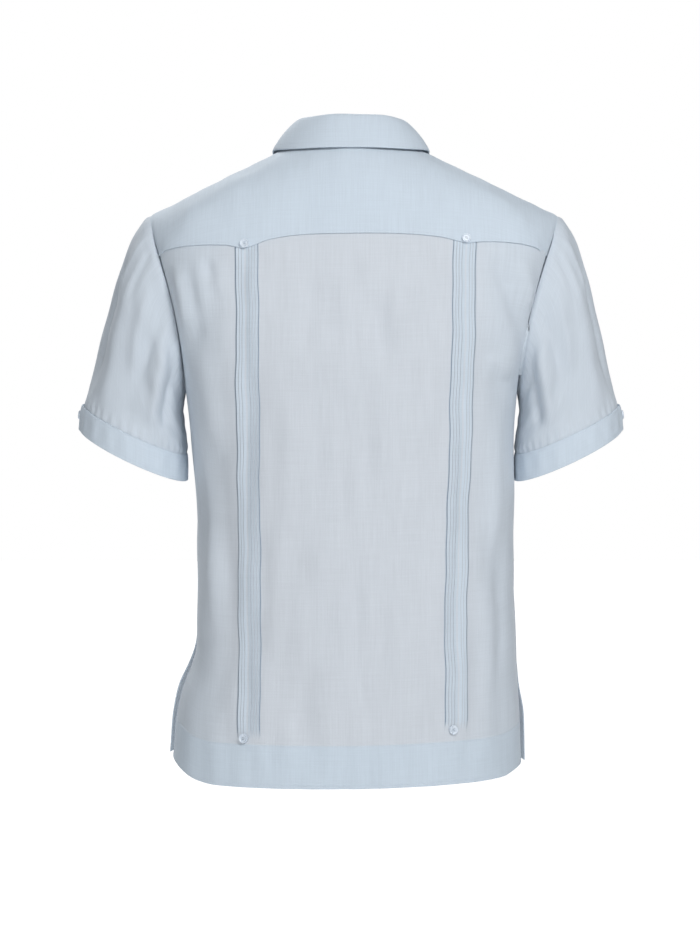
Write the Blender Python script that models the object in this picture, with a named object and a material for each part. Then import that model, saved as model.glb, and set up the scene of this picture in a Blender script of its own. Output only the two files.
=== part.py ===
"""Guayabera shirt: the worn garment as cut and sewn pieces of cloth, each a closed thin wall.

Frame: metres, +Z up. The wearer faces -Y, and +X is the wearer's left.
The origin is the middle of the neck base, where the wearer's shoulders carry the shirt.
The body is a stack of boxy oval sections. Panels are grids of points on it, sleeves are
lofted from the armhole to the cuff, and all that lies on a panel is its surface moved out.
"""

import math

import bmesh
import bpy
from mathutils import Matrix, Vector

# Walls and seams
CLOTH = 0.0012            # a single layer
DOUBLE = 0.0018           # two layers: yoke, collar, cuffs, front band
SEAM = 0.0003             # gap between pieces
LEFT, RIGHT = 1, -1       # the wearer's sides
BACK, FRONT = 1, -1
UP = Vector((0.0, 0.0, 1.0))
CENTRE = 1e-6             # x of the middle, just on the left's side
SIDE_PARTS = 4            # points between a panel's side edge and its tucks
MIDDLE_PARTS = 4          # and between the back's tucks and its middle
SIDE_START = 0.10         # beyond this x a panel's rows turn towards its side edge
FLARE_FALL = 0.060        # a front's flare is full this far below its vent's top
ANGLE_STEP = 0.5          # degrees and metres either way when a surface's direction is measured
RISE_STEP = 0.002

# Neck and collar
NECK_HALF = 0.072         # half the width of the neck seam
NECK_BACK = 0.058         # neck seam behind the shoulder line
NECK_FRONT = 0.080        # and in front of it
NECK_HEIGHT = 0.022       # side and back of the neck seam above the origin
NECK_DROP = 0.066         # how far the neck seam falls at the front
STAND_HEIGHT = 0.0305
STAND_LEAN = 0.012        # how far the stand leans in at its top
STAND_FALL = 0.005        # how much lower the stand is at the front
STAND_CLEAR = 0.0009      # the stand's lower edge over the neck seam
FALL_CLEAR = 0.0014       # the fall's inner edge over the stand
POINT_REACH = 150.0       # degrees of the fall's outer edge each way: the collar points

# Armhole: an oval seen from the side
ARM_TOP = -0.060
ARM_PIT = -0.275
ARM_BACK = 0.073
ARM_FRONT = 0.073
RING = 24                 # points round the armhole, sleeve and cuff seam
YOKE_BACK_STEP = 4        # ring point where the yoke's back seam meets the armhole
YOKE_FRONT_STEP = -2      # ring point where the yoke's front seam meets it
YOKE_NECK_TURN = -32.0    # degrees of the neck seam where the yoke's front seam starts
YOKE_CORNER_TURN = 58.0   # degrees from the centre back on the neck that face the yoke's corners
YOKE_PARTS = 4            # grid steps from the neck to the yoke's outer edge
YOKE_SLOPE_SIDE = 24.5    # degrees that the yoke slopes at the neck, on the shoulder
YOKE_SLOPE_BACK = 36.0    # and behind the neck
YOKE_ARRIVE = (0.86, 0.03, -0.51)   # its direction at the armhole's top
YOKE_BEND_START = 0.45    # share of the way back from which that direction turns down
YOKE_PULL = (0.5, 0.8)    # how stiffly it keeps that direction, at the front and the back
YOKE_FLAT_TURN = 16.0     # degrees over which the yoke's front edge becomes straight

# Tucks
TUCK_FRONT = 0.098        # centre line of a front tuck column from the centre front
TUCK_BACK = 0.125         # and about where those of the back lie
TUCK_END = -0.665         # the tucks stop above the hem
TUCK_FADE = 0.012         # length over which they rise and fall

# Front band, pockets and buttons
BAND_HALF = 0.016
BAND_TURN = math.degrees(math.acos(BAND_HALF / NECK_HALF))   # where its edge meets the neck seam
BAND_PROUD = 0.0006
UNDERLAP = 0.012          # the right front goes this far past the centre, under the band
UNDERLAP_SINK = 0.0026
UNDERLAP_BENDS = (0.0265, 0.0172)   # x where it starts to go down and where it is down
BAND_OUT = Vector((0.0, -1.0, 0.25)).normalized()   # direction that is out of the chest's middle
FRONT_LEAN_SHOULDER = 0.75   # how far a front leans back where it meets the yoke
FRONT_LEAN_NECK = 0.45       # and where it meets the collar
LEAN_LOSS = 0.35             # height that it gives up for that
POCKET_WIDTH = 0.118
POCKET_HEIGHT = 0.132
POCKET_TOP = -0.185
POCKET_PROUD = 0.0037     # over the front and its tucks
POCKET_POINT = 0.014      # drop of its lower edge's point
POCKET_GRID = (5, 6)      # steps down and across
BUTTON_RADIUS = 0.0055
BUTTON_THICK = 0.0024
BUTTON_SIDES = 10
BUTTON_TAPER = 0.93       # its face's radius over its back's
BUTTON_RIM = 0.28         # width of its rim, in radii
BUTTON_DISH = 0.3         # depth of its dish, in thicknesses
FRONT_BUTTONS = 7
FRONT_BUTTON_TOP = -0.075
FRONT_BUTTON_PITCH = 0.092

# Cuffs
CUFF_PROUD = 0.0010
CUFF_OVERLAP_STEPS = 1    # ring steps that the cuff's upper end passes over its other end
CUFF_LIFT = DOUBLE + 2 * SEAM
CUFF_HALF_DEPTH = 0.060   # half the cuff's depth, front to back
CUFF_BUTTON_TURN = -8.0   # degrees round the cuff to its button
CUFF_BUTTON_SHARE = 0.45  # and how far down the cuff it is
CUFF_BUTTON_SPAN = 10.0   # degrees either way over which the cuff's direction is measured

# Sleeves
SLEEVE_PARTS = 8          # grid steps from the armhole to the cuff
SLEEVE_TOP_X = 0.215      # its middle line at the armhole
SLEEVE_LOW_X = 0.262      # and at the cuff

HEM_ROWS = 8              # rows of a panel below the armpit
BACK_CHEST_ROWS = RING // 2 - YOKE_BACK_STEP
FRONT_CHEST_ROWS = RING // 2 + YOKE_FRONT_STEP
FRONT_FORM_ROWS = 6       # the front's rows over the armpit that lie on the body form
FRONT_CHEST_TOP = -0.080  # height that those rows are spaced towards

# Collar fall: it rises and rolls outwards off the stand, then spreads and dips to its edge
FALL_PARTS = 6
FALL_RISE = 0.026
FALL_ROLL = 0.004
FALL_SPREAD = 0.020
FALL_DIP = 0.050

# Degrees from the centre back of the collar's columns; the last five are the fronts' own
COLLAR_AWAY = (0.0, 14.0, 28.0, 42.0, 56.0, 70.0, 84.0, 97.0, 110.0,
               90.0 - YOKE_NECK_TURN, 140.0, 155.0, 90.0 + BAND_TURN, 176.0)


def table(names, *rows):
    """Rows of numbers with named columns."""
    return [dict(zip(names.split(), row)) for row in rows]


# Sections of the body: half widths, depths and how boxy the oval is
TORSO = table(
    "z left right back front boxy",
    (-0.760, 0.217, 0.203, 0.136, 0.140, 2.5),
    (-0.700, 0.212, 0.201, 0.135, 0.142, 2.5),
    (-0.660, 0.209, 0.200, 0.134, 0.143, 2.45),
    (-0.630, 0.202, 0.199, 0.133, 0.144, 2.4),
    (-0.600, 0.191, 0.199, 0.132, 0.145, 2.4),
    (-0.565, 0.183, 0.198, 0.130, 0.145, 2.4),
    (-0.450, 0.184, 0.194, 0.126, 0.144, 2.4),
    (-0.350, 0.190, 0.192, 0.126, 0.142, 2.5),
    (-0.275, 0.197, 0.198, 0.129, 0.138, 2.7),
    (-0.235, 0.206, 0.208, 0.130, 0.134, 2.9),
    (-0.190, 0.218, 0.221, 0.128, 0.128, 3.1),
    (-0.140, 0.231, 0.2355, 0.124, 0.118, 3.2),
    (-0.100, 0.239, 0.2445, 0.117, 0.104, 3.2),
    (-0.060, 0.2405, 0.2475, 0.106, 0.090, 3.2),
)

# Largest folds of the body: soft ridges (or troughs) that run down it
BODY_FOLDS = table(
    "turn wide top bottom lean height",
    (24.0, 7.0, -0.26, -0.62, 14.0, 0.0045),
    (37.0, 6.0, -0.30, -0.70, 8.0, -0.0035),
    (152.0, 7.0, -0.26, -0.60, -16.0, 0.0050),
    (140.0, 6.0, -0.30, -0.72, -10.0, -0.0035),
    (86.0, 9.0, -0.36, -0.74, 4.0, 0.0030),
    (-30.0, 8.0, -0.26, -0.64, -12.0, 0.0050),
    (-48.0, 8.0, -0.34, -0.70, -6.0, -0.0035),
    (212.0, 8.0, -0.26, -0.62, 14.0, 0.0050),
    (230.0, 8.0, -0.34, -0.72, 6.0, -0.0035),
)

# The yoke's back seam: it dips to a point over each tuck column
YOKE_SEAM = table(
    "x z",
    (-0.2300, -0.1138),
    (-0.2150, -0.1050),
    (-0.1800, -0.1005),
    (-0.1500, -0.1005),
    (-0.1335, -0.1020),
    (-0.1050, -0.0955),
    (-0.0600, -0.0915),
    (0.0000, -0.0910),
    (0.0600, -0.0930),
    (0.0950, -0.0985),
    (0.1225, -0.1080),
    (0.1450, -0.1045),
    (0.1850, -0.1040),
    (0.2150, -0.1075),
    (0.2280, -0.1138),
)

# Centre lines of the back's tuck columns, as distances from the centre back
TUCK_LINES = table(
    "z left right",
    (-0.700, 0.1195, 0.1250),
    (-0.500, 0.1200, 0.1245),
    (-0.250, 0.1215, 0.1300),
    (-0.100, 0.1225, 0.1335),
)

# Hem heights, by distance from the centre
BACK_HEM = table(
    "x z",
    (-0.206, -0.7120),
    (-0.197, -0.7158),
    (-0.179, -0.7237),
    (-0.115, -0.7283),
    (0.000, -0.7320),
    (0.150, -0.7310),
    (0.180, -0.7270),
    (0.200, -0.7165),
    (0.215, -0.7040),
)
FRONT_HEM = table(
    "x z",
    (-0.206, -0.714),
    (-0.120, -0.720),
    (0.000, -0.722),
    (0.120, -0.719),
    (0.215, -0.704),
)

# Side vents: where each opens, how far its edges part in degrees, and the front edge's flare
VENTS = table(
    "side top back_turn front_turn flare",
    (LEFT, -0.562, 4.0, 3.0, 0.006),
    (RIGHT, -0.600, 3.0, 2.0, 0.007),
)

# A tuck column in section: offset from its centre line and height of the fold
TUCK_SECTION = table(
    "across rise",
    (0.0150, 0.0000),
    (0.0115, 0.0015),
    (0.0080, 0.0003),
    (0.0045, 0.0018),
    (-0.0015, 0.0018),
    (-0.0060, 0.0003),
    (-0.0100, 0.0015),
    (-0.0140, 0.0000),
)

# Sleeves: the seam ring at the cuff and the cuff's lower ring
CUFF_RINGS = table(
    "name x z half rise tilt",
    ("seam", 0.2585, -0.3180, 0.0620, 0.0285, 0.0085),
    ("hem", 0.2600, -0.3470, 0.0635, 0.0295, 0.0100),
)

# How a sleeve leaves the armhole and reaches the cuff: its slope outwards and down, and how
# stiffly it keeps that slope, under the arm, over the shoulder and added at the sides
SLEEVE_PULL = {
    "leave_out": (0.60, 0.80),
    "leave_down": (0.80, 0.60),
    "leave_back": 0.25,
    "leave_reach": (0.045, 0.130, 0.050),
    "arrive_out": (0.05, 0.30),
    "arrive_reach": (0.060, 0.235, 0.030),
}

# Largest folds of a sleeve, by ring angle, from its head (0) to the cuff (1)
SLEEVE_FOLDS = table(
    "ring wide start end height",
    (25.0, 11.0, 0.05, 0.95, -0.0035),
    (52.0, 10.0, 0.10, 1.00, 0.0040),
    (82.0, 12.0, 0.20, 1.00, -0.0045),
    (112.0, 12.0, 0.05, 0.85, 0.0040),
    (-30.0, 12.0, 0.05, 0.95, -0.0035),
    (-62.0, 12.0, 0.10, 1.00, 0.0040),
    (-95.0, 13.0, 0.20, 0.95, -0.0045),
)

# The collar's fall, by turn from the centre back: where its edge lies over the body below
FALL_EDGE = table(
    "turn out drop",
    (0.0, 0.0260, 0.0385),
    (45.0, 0.0300, 0.0375),
    (90.0, 0.0340, 0.0330),
    (125.0, 0.0360, 0.0360),
    (150.0, 0.0330, 0.0420),
)

# Back buttons: at the yoke's points and under the tucks
BACK_BUTTON_LIFT = 0.0006
BACK_BUTTONS = table(
    "name x z",
    ("button_back_top_left", 0.1235, -0.1035),
    ("button_back_top_right", -0.1335, -0.0970),
    ("button_back_low_left", 0.1240, -0.6760),
    ("button_back_low_right", -0.1180, -0.6660),
)

# Finishes: linear colour, roughness
PALE_BLUE = (0.58, 0.66, 0.74, 1.0)
DOUBLE_BLUE = (0.53, 0.63, 0.73, 1.0)
PEARL = (0.74, 0.80, 0.86, 1.0)


# ---------------------------------------------------------------- plain mathematics

def mix(a, b, share):
    """Value between a and b."""
    return a + (b - a) * share


def ease(value):
    """Smooth step from 0 to 1."""
    value = min(1.0, max(0.0, value))
    return value * value * (3.0 - 2.0 * value)


def curve_between(start, leave, end, arrive, share):
    """Cubic from start to end with the given end tangents."""
    s2, s3 = share * share, share ** 3
    return (start * (2 * s3 - 3 * s2 + 1) + leave * (s3 - 2 * s2 + share)
            + end * (3 * s2 - 2 * s3) + arrive * (s3 - s2))


def read(rows, key, name, at):
    """Smooth value of column `name` where column `key` equals `at`."""
    knots = [(row[key], row[name]) for row in rows]
    at = min(knots[-1][0], max(knots[0][0], at))
    last = len(knots) - 1
    slot = next(i for i in range(last) if at <= knots[i + 1][0])

    def slope(i):
        """Slope of the column at one of its rows."""
        low, high = max(0, i - 1), min(last, i + 1)
        return (knots[high][1] - knots[low][1]) / (knots[high][0] - knots[low][0])

    (x0, y0), (x1, y1) = knots[slot], knots[slot + 1]
    span = x1 - x0
    return curve_between(y0, slope(slot) * span, y1, slope(slot + 1) * span, (at - x0) / span)


# ---------------------------------------------------------------- body form

def section(z):
    """Half widths, depths and boxiness of the body at one height."""
    return {name: read(TORSO, "z", name, z) for name in ("left", "right", "back", "front", "boxy")}


def fold_rise(angle, z):
    """How far the body's folds stand out at an angle in degrees and a height."""
    rise = 0.0
    for fold in BODY_FOLDS:
        down = (fold["top"] - z) / (fold["top"] - fold["bottom"])
        if 0.0 < down < 1.0:
            middle = fold["turn"] + fold["lean"] * down
            away = (angle - middle + 180.0) % 360.0 - 180.0
            rise += fold["height"] * math.exp(-(away / fold["wide"]) ** 2) * math.sin(math.pi * down)
    return rise


def torso(angle, z):
    """Point of the body; 0 degrees is the wearer's left, 90 the back, 180 the right."""
    oval = section(z)
    turn = math.radians(angle)
    c, s = math.cos(turn), math.sin(turn)
    wide = oval["left"] if c > 0 else oval["right"]
    deep = oval["back"] if s > 0 else oval["front"]
    power = 2.0 / oval["boxy"]
    x = math.copysign(wide * abs(c) ** power, c)
    y = math.copysign(deep * abs(s) ** power, s)
    rise = fold_rise(angle, z)
    return Vector((x + rise * c, y + rise * s, z))


def angle_at_x(x, z, face):
    """Angle of the body's point with a given x, on its back or front."""
    oval = section(z)
    wide = oval["left"] if x > 0 else oval["right"]
    c = min(1.0, abs(x) / wide) ** (oval["boxy"] / 2.0)
    turn = math.degrees(math.acos(math.copysign(c, x)))
    return turn * face


def angle_at_y(y, z, side):
    """Angle of the body's point with a given y, on one side."""
    oval = section(z)
    deep = oval["back"] if y > 0 else oval["front"]
    s = min(1.0, abs(y) / deep) ** (oval["boxy"] / 2.0)
    turn = math.degrees(math.asin(s)) * (BACK if y > 0 else FRONT)
    return turn if side == LEFT else 180.0 * (BACK if y > 0 else FRONT) - turn


def body_normal(x, z, face):
    """Outward direction of the body's back or front at x and z."""
    angle = angle_at_x(x, z, face)
    along = torso(angle + ANGLE_STEP, z) - torso(angle - ANGLE_STEP, z)
    upward = torso(angle, z + RISE_STEP) - torso(angle, z - RISE_STEP)
    return along.cross(upward).normalized()


def body_at(x, z, face, lift=0.0):
    """Point over the body's back or front at x and z, moved out by `lift`."""
    return torso(angle_at_x(x, z, face), z) + body_normal(x, z, face) * lift


def ring_angle(step):
    """Degrees round the armhole: 0 is the shoulder, 90 the back, 180 the armpit."""
    return 360.0 * step / RING


def armhole(side, step):
    """Point of the armhole seam."""
    turn = math.radians(ring_angle(step))
    z = mix(ARM_PIT, ARM_TOP, (1.0 + math.cos(turn)) / 2.0)
    reach = ARM_BACK if math.sin(turn) > 0 else ARM_FRONT
    return torso(angle_at_y(reach * math.sin(turn), z, side), z)


def armhole_out(side, step):
    """Direction that both cloths share at the armhole seam."""
    turn = math.radians(ring_angle(step))
    return Vector((0.45 * side, math.sin(turn), math.cos(turn))).normalized()


def neck(turn, lift=0.0, lean=0.0):
    """Point of the neck seam; 0 degrees is the wearer's left, 90 the back."""
    c, s = math.cos(math.radians(turn)), math.sin(math.radians(turn))
    deep = NECK_BACK if s > 0 else NECK_FRONT
    drop = NECK_DROP * max(0.0, -s) ** 1.5
    return Vector(((NECK_HALF - lean) * c, (deep - lean) * s, NECK_HEIGHT - drop + lift))


# ---------------------------------------------------------------- walls

def grid_normals(rows, closed):
    """Unit normals of a grid of points."""
    last, count = len(rows) - 1, len(rows[0])
    normals = []
    for i, row in enumerate(rows):
        line = []
        for j in range(count):
            before = (j - 1) % count if closed else max(0, j - 1)
            after = (j + 1) % count if closed else min(count - 1, j + 1)
            along = row[after] - row[before]
            up = rows[min(last, i + 1)][j] - rows[max(0, i - 1)][j]
            line.append(along.cross(up).normalized())
        normals.append(line)
    return normals


def pull_in(rows, closed, ends):
    """Move the rim of a grid in by half a seam, so that neighbours stay a seam apart."""
    moved = [[point.copy() for point in row] for row in rows]
    last, count = len(rows) - 1, len(rows[0])
    if ends:
        for j in range(count):
            moved[0][j] += (rows[1][j] - rows[0][j]).normalized() * SEAM / 2
            moved[last][j] += (rows[last - 1][j] - rows[last][j]).normalized() * SEAM / 2
    if not closed:
        for i, row in enumerate(rows):
            moved[i][0] += (row[1] - row[0]).normalized() * SEAM / 2
            moved[i][-1] += (row[-2] - row[-1]).normalized() * SEAM / 2
    return moved


def wall(name, rows, thick, colour, closed=False, rim_out=None, core=None, ends=True):
    """Make a closed wall whose outer face is the grid `rows`.

    `closed` joins each row's ends, `rim_out` gives shared directions for some rim points, and
    `core` gives the middle that a point faces away from (the body's upright axis if left out).
    """
    rows = pull_in(rows, closed, ends)
    normals = grid_normals(rows, closed)
    middle = core or (lambda point: Vector((0.0, 0.0, point.z)))
    facing = sum(n.dot(p - middle(p)) for line, row in zip(normals, rows) for n, p in zip(line, row))
    outward = 1.0 if facing > 0 else -1.0
    mesh = bmesh.new()
    outer, inner = [], []
    for i, row in enumerate(rows):
        outer.append([mesh.verts.new(point) for point in row])
        line = []
        for j, point in enumerate(row):
            direction = normals[i][j] * outward
            if rim_out and (i, j) in rim_out:
                direction = rim_out[(i, j)]
            line.append(mesh.verts.new(point - direction * thick))
        inner.append(line)
    count = len(rows[0])
    steps = range(count if closed else count - 1)
    for low in range(len(rows) - 1):
        for j in steps:
            k = (j + 1) % count
            mesh.faces.new((outer[low][j], outer[low][k], outer[low + 1][k], outer[low + 1][j]))
            mesh.faces.new((inner[low][j], inner[low + 1][j], inner[low + 1][k], inner[low][k]))
    for j in steps:
        k = (j + 1) % count
        mesh.faces.new((outer[0][j], inner[0][j], inner[0][k], outer[0][k]))
        mesh.faces.new((outer[-1][j], outer[-1][k], inner[-1][k], inner[-1][j]))
    if not closed:
        for low in range(len(rows) - 1):
            mesh.faces.new((outer[low][0], outer[low + 1][0], inner[low + 1][0], inner[low][0]))
            mesh.faces.new((outer[low][-1], inner[low][-1], inner[low + 1][-1], outer[low + 1][-1]))
    bmesh.ops.recalc_face_normals(mesh, faces=mesh.faces)
    return add_object(name, mesh, colour, 0.85)


def add_object(name, mesh, colour, roughness):
    """Make an object with its own material from a bmesh."""
    data = bpy.data.meshes.new(name)
    mesh.to_mesh(data)
    mesh.free()
    data.shade_smooth()
    data.set_sharp_from_angle(angle=math.radians(40))
    material = bpy.data.materials.new(name)
    material.use_nodes = True
    shader = material.node_tree.nodes["Principled BSDF"]
    shader.inputs["Base Color"].default_value = colour
    shader.inputs["Roughness"].default_value = roughness
    shader.inputs["Metallic"].default_value = 0.0
    data.materials.append(material)
    piece = bpy.data.objects.new(name, data)
    bpy.context.scene.collection.objects.link(piece)
    return piece


# ---------------------------------------------------------------- panels

def vent_of(side):
    """The vent on one side."""
    return next(vent for vent in VENTS if vent["side"] == side)


def edge_angle(side, face, z):
    """Angle of a panel's side edge below the armpit: the side seam, then the open vent."""
    vent = vent_of(side)
    turn = vent["back_turn"] if face == BACK else vent["front_turn"]
    opened = ease((vent["top"] - z) / (vent["top"] - BACK_HEM[0]["z"])) * turn
    return face * opened if side == LEFT else face * (180.0 - opened)


def flare(point, side, face):
    """Front panels stand out a little more than the back at an open vent."""
    vent = vent_of(side)
    if face == BACK or point.z > vent["top"]:
        return point
    low = ease((vent["top"] - point.z) / FLARE_FALL)
    near = ease((abs(point.x) - SIDE_START) / SIDE_START)
    return point + Vector((side * vent["flare"] * low * near, 0.0, 0.0))


def tuck_rise(rise, z, top):
    """Height of a tuck: it fades at the yoke seam and ends above the hem."""
    return rise * ease((top - z) / TUCK_FADE) * ease((z - TUCK_END) / TUCK_FADE)


def spread(start, end, parts):
    """Values from start towards end, without the end."""
    return [mix(start, end, i / parts) for i in range(parts)]


class Level:
    """One row of a panel: how high it lies at the side edge and at the middle."""

    def __init__(self, face, index):
        """Row `index` of a back or front panel."""
        self.face = face
        self.below = index < HEM_ROWS
        chest_rows = BACK_CHEST_ROWS if face == BACK else FRONT_CHEST_ROWS
        self.share = index / HEM_ROWS if self.below else (index - HEM_ROWS) / chest_rows
        self.last = YOKE_BACK_STEP if face == BACK else RING + YOKE_FRONT_STEP
        self.step = round(mix(RING / 2, self.last, self.share))

    def height(self, x, side):
        """Height of the row at x."""
        if self.below:
            hem = read(BACK_HEM if self.face == BACK else FRONT_HEM, "x", "z", x)
            return mix(hem, ARM_PIT, self.share)
        edge, last = armhole(side, self.step), armhole(side, self.last)
        edge_share = (edge.z - ARM_PIT) / (last.z - ARM_PIT)
        near = ease((abs(x) - SIDE_START) / (abs(edge.x) - SIDE_START))
        top = seam_height(x) if self.face == BACK else FRONT_CHEST_TOP
        return mix(ARM_PIT, top, mix(self.share, edge_share, near))

    def edge(self, side):
        """Angle and height of the row's end on the side seam, vent or armhole."""
        if self.below:
            rough = self.height(side * 2 * SIDE_START, side)
            return edge_angle(side, self.face, rough), rough
        point = armhole(side, self.step)
        return angle_at_y(point.y, point.z, side), point.z

    def outer_part(self, side, inner_x):
        """Points from the side edge to just before inner_x, evenly spaced round the body."""
        angle, z = self.edge(side)
        inner_angle = angle_at_x(inner_x, self.height(inner_x, side), self.face)
        if side == RIGHT and self.face == FRONT and angle > 0:
            angle -= 360.0
        points = [flare(torso(angle, z), side, self.face)]
        for share in spread(0.0, 1.0, SIDE_PARTS)[1:]:
            turn = mix(angle, inner_angle, share)
            height = self.height(torso(turn, z).x, side)
            points.append(flare(torso(turn, height), side, self.face))
        return points


def seam_height(x):
    """Height of the yoke's back seam."""
    return read(YOKE_SEAM, "x", "z", x)


def tuck_line(side, z):
    """Signed x of a back tuck column's centre line."""
    return side * read(TUCK_LINES, "z", "left" if side == LEFT else "right", z)


def tuck_stops(centre, side):
    """The x and fold height of each point across a tuck column."""
    return [(centre + side * fold["across"], fold["rise"]) for fold in TUCK_SECTION]


def back_half(level, side):
    """Half a row of the back panel, from the side edge to just before the middle."""
    rough = level.height(side * TUCK_BACK, side)
    stops = tuck_stops(tuck_line(side, rough), side)
    points = level.outer_part(side, stops[0][0])
    for x, rise in stops:
        z = level.height(x, side)
        points.append(body_at(x, z, BACK, tuck_rise(rise, z, seam_height(x))))
    for x in spread(stops[-1][0], 0.0, MIDDLE_PARTS)[1:]:
        points.append(body_at(x, level.height(x, side), BACK))
    return points


def back_rows():
    """Rows of the back panel from the hem to the yoke seam, each from left to right."""
    rows = []
    for index in range(HEM_ROWS + BACK_CHEST_ROWS + 1):
        level = Level(BACK, index)
        middle = body_at(CENTRE, level.height(CENTRE, LEFT), BACK)
        rows.append(back_half(level, LEFT) + [middle] + back_half(level, RIGHT)[::-1])
    return rows


def front_top(x, side):
    """Top edge of a front: the yoke's front seam, then the neck seam."""
    start = neck(YOKE_NECK_TURN)
    start.x *= side
    end = armhole(side, YOKE_FRONT_STEP)
    if abs(x) > abs(start.x):
        return start.lerp(end, (x - start.x) / (end.x - start.x))
    return neck(-math.degrees(math.acos(x / NECK_HALF)))


def rise_to_top(column, top, parts):
    """Carry a front's column on from the chest to its top edge."""
    base = column[-1]
    reach = (top - base).length
    leave = (base - column[-2]).normalized() * reach
    back = FRONT_LEAN_SHOULDER if abs(base.x) > NECK_HALF else FRONT_LEAN_NECK
    arrive = Vector((0.0, back, 1.0 - LEAN_LOSS * back)).normalized() * reach
    return [curve_between(base, leave, top, arrive, (k + 1) / parts) for k in range(parts)]


def front_column(x, side, rise=0.0):
    """Column of a front at one x, from the hem to the top edge, lifted by `rise`."""
    column = []
    for index in range(HEM_ROWS + FRONT_FORM_ROWS + 1):
        column.append(body_at(x, Level(FRONT, index).height(x, side), FRONT))
    column += rise_to_top(column, front_top(x, side), FRONT_CHEST_ROWS - FRONT_FORM_ROWS)
    return [point + BAND_OUT * rise for point in column]


def front_columns(side, inner_stops):
    """Columns of a front from the side edge to the middle; stops give x and lift."""
    stops = tuck_stops(TUCK_FRONT * side, side)
    sides = [Level(FRONT, index).outer_part(side, stops[0][0])
             for index in range(HEM_ROWS + FRONT_FORM_ROWS + 1)]
    columns = [list(column) for column in zip(*sides)]
    corner = armhole(side, YOKE_FRONT_STEP)
    parts = FRONT_CHEST_ROWS - FRONT_FORM_ROWS
    for j, column in enumerate(columns):
        if j == 0:
            first = RING // 2 + FRONT_FORM_ROWS + 1
            column += [armhole(side, first + k) for k in range(parts)]
        else:
            top = front_top(mix(corner.x, stops[0][0], j / SIDE_PARTS), side)
            column += rise_to_top(column, top, parts)
    for x, rise in stops:
        column = front_column(x, side)
        folded = front_column(x, side, 1.0)
        top = column[-1].z
        columns.append([flat.lerp(full, tuck_rise(rise, flat.z, top))
                        for flat, full in zip(column, folded)])
    columns += [front_column(x, side, lift) for x, lift in inner_stops]
    return columns


def rows_of(columns):
    """Rows of a grid that is given by its columns."""
    return [list(row) for row in zip(*columns)]


def front_stops(side):
    """The x and lift of the columns between a front's tucks and its edge."""
    turns = [away - 90.0 for away in COLLAR_AWAY[-5:-1]]
    stops = [(side * NECK_HALF * math.cos(math.radians(turn)), 0.0) for turn in turns]
    if side == RIGHT:
        above, below = UNDERLAP_BENDS
        stops = stops[:-1] + [(-above, 0.0)]
        stops += [(x, -UNDERLAP_SINK) for x in (-below, CENTRE, UNDERLAP)]
    return stops


def armhole_rims(rows, columns, steps, side):
    """Shared directions for the rim points that lie on an armhole."""
    rims = {}
    for i, step in steps.items():
        for j in columns:
            rims[(i, j % len(rows[0]))] = armhole_out(side, step)
    return rims


def make_back():
    """Back panel with its two tuck columns and side vents."""
    rows = back_rows()
    steps = {HEM_ROWS + k: RING // 2 - k for k in range(BACK_CHEST_ROWS + 1)}
    rims = armhole_rims(rows, [0], steps, LEFT)
    rims.update(armhole_rims(rows, [-1], steps, RIGHT))
    top = len(rows) - 1
    for j, point in list(enumerate(rows[top]))[1:-1]:
        rims[(top, j)] = body_normal(point.x, point.z, BACK)
    wall("back_panel", rows, CLOTH, PALE_BLUE, rim_out=rims)


def make_fronts():
    """The two fronts: the left ends at the band, and the right goes on under it."""
    steps = {HEM_ROWS + k: RING // 2 + k for k in range(FRONT_CHEST_ROWS + 1)}
    for name, side in (("front_left", LEFT), ("front_right", RIGHT)):
        rows = rows_of(front_columns(side, front_stops(side)))
        wall(name, rows, CLOTH, PALE_BLUE, rim_out=armhole_rims(rows, [0], steps, side))


def down_the_back(x, z):
    """Direction down the back's surface."""
    return (body_at(x, z - 0.004, BACK) - body_at(x, z, BACK)).normalized()


def yoke_columns():
    """Outer points of the yoke with the direction that each is reached in, and its neck angle."""
    columns = []
    seam = back_rows()[-1]
    for end in seam:
        turn = 90.0 - YOKE_CORNER_TURN * end.x / abs(seam[0 if end.x > 0 else -1].x)
        columns.append((end, down_the_back(end.x, end.z), turn))
    for side in (LEFT, RIGHT):
        arm = []
        corner = seam[0 if side == LEFT else -1]
        down = down_the_back(corner.x, corner.z)
        slope = Vector((side * YOKE_ARRIVE[0],) + YOKE_ARRIVE[1:])
        for step in range(YOKE_FRONT_STEP, YOKE_BACK_STEP):
            share = (step - YOKE_FRONT_STEP) / (YOKE_BACK_STEP - YOKE_FRONT_STEP)
            turn = mix(YOKE_NECK_TURN, 90.0 - YOKE_CORNER_TURN, share)
            bend = ease((share - YOKE_BEND_START) / (1.0 - YOKE_BEND_START))
            arrive = slope.lerp(down, bend).normalized() * mix(*YOKE_PULL, bend)
            arm.append((armhole(side, step), arrive, turn if side == LEFT else 180.0 - turn))
        columns = arm + columns if side == LEFT else columns + arm[::-1]
    return columns


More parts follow.
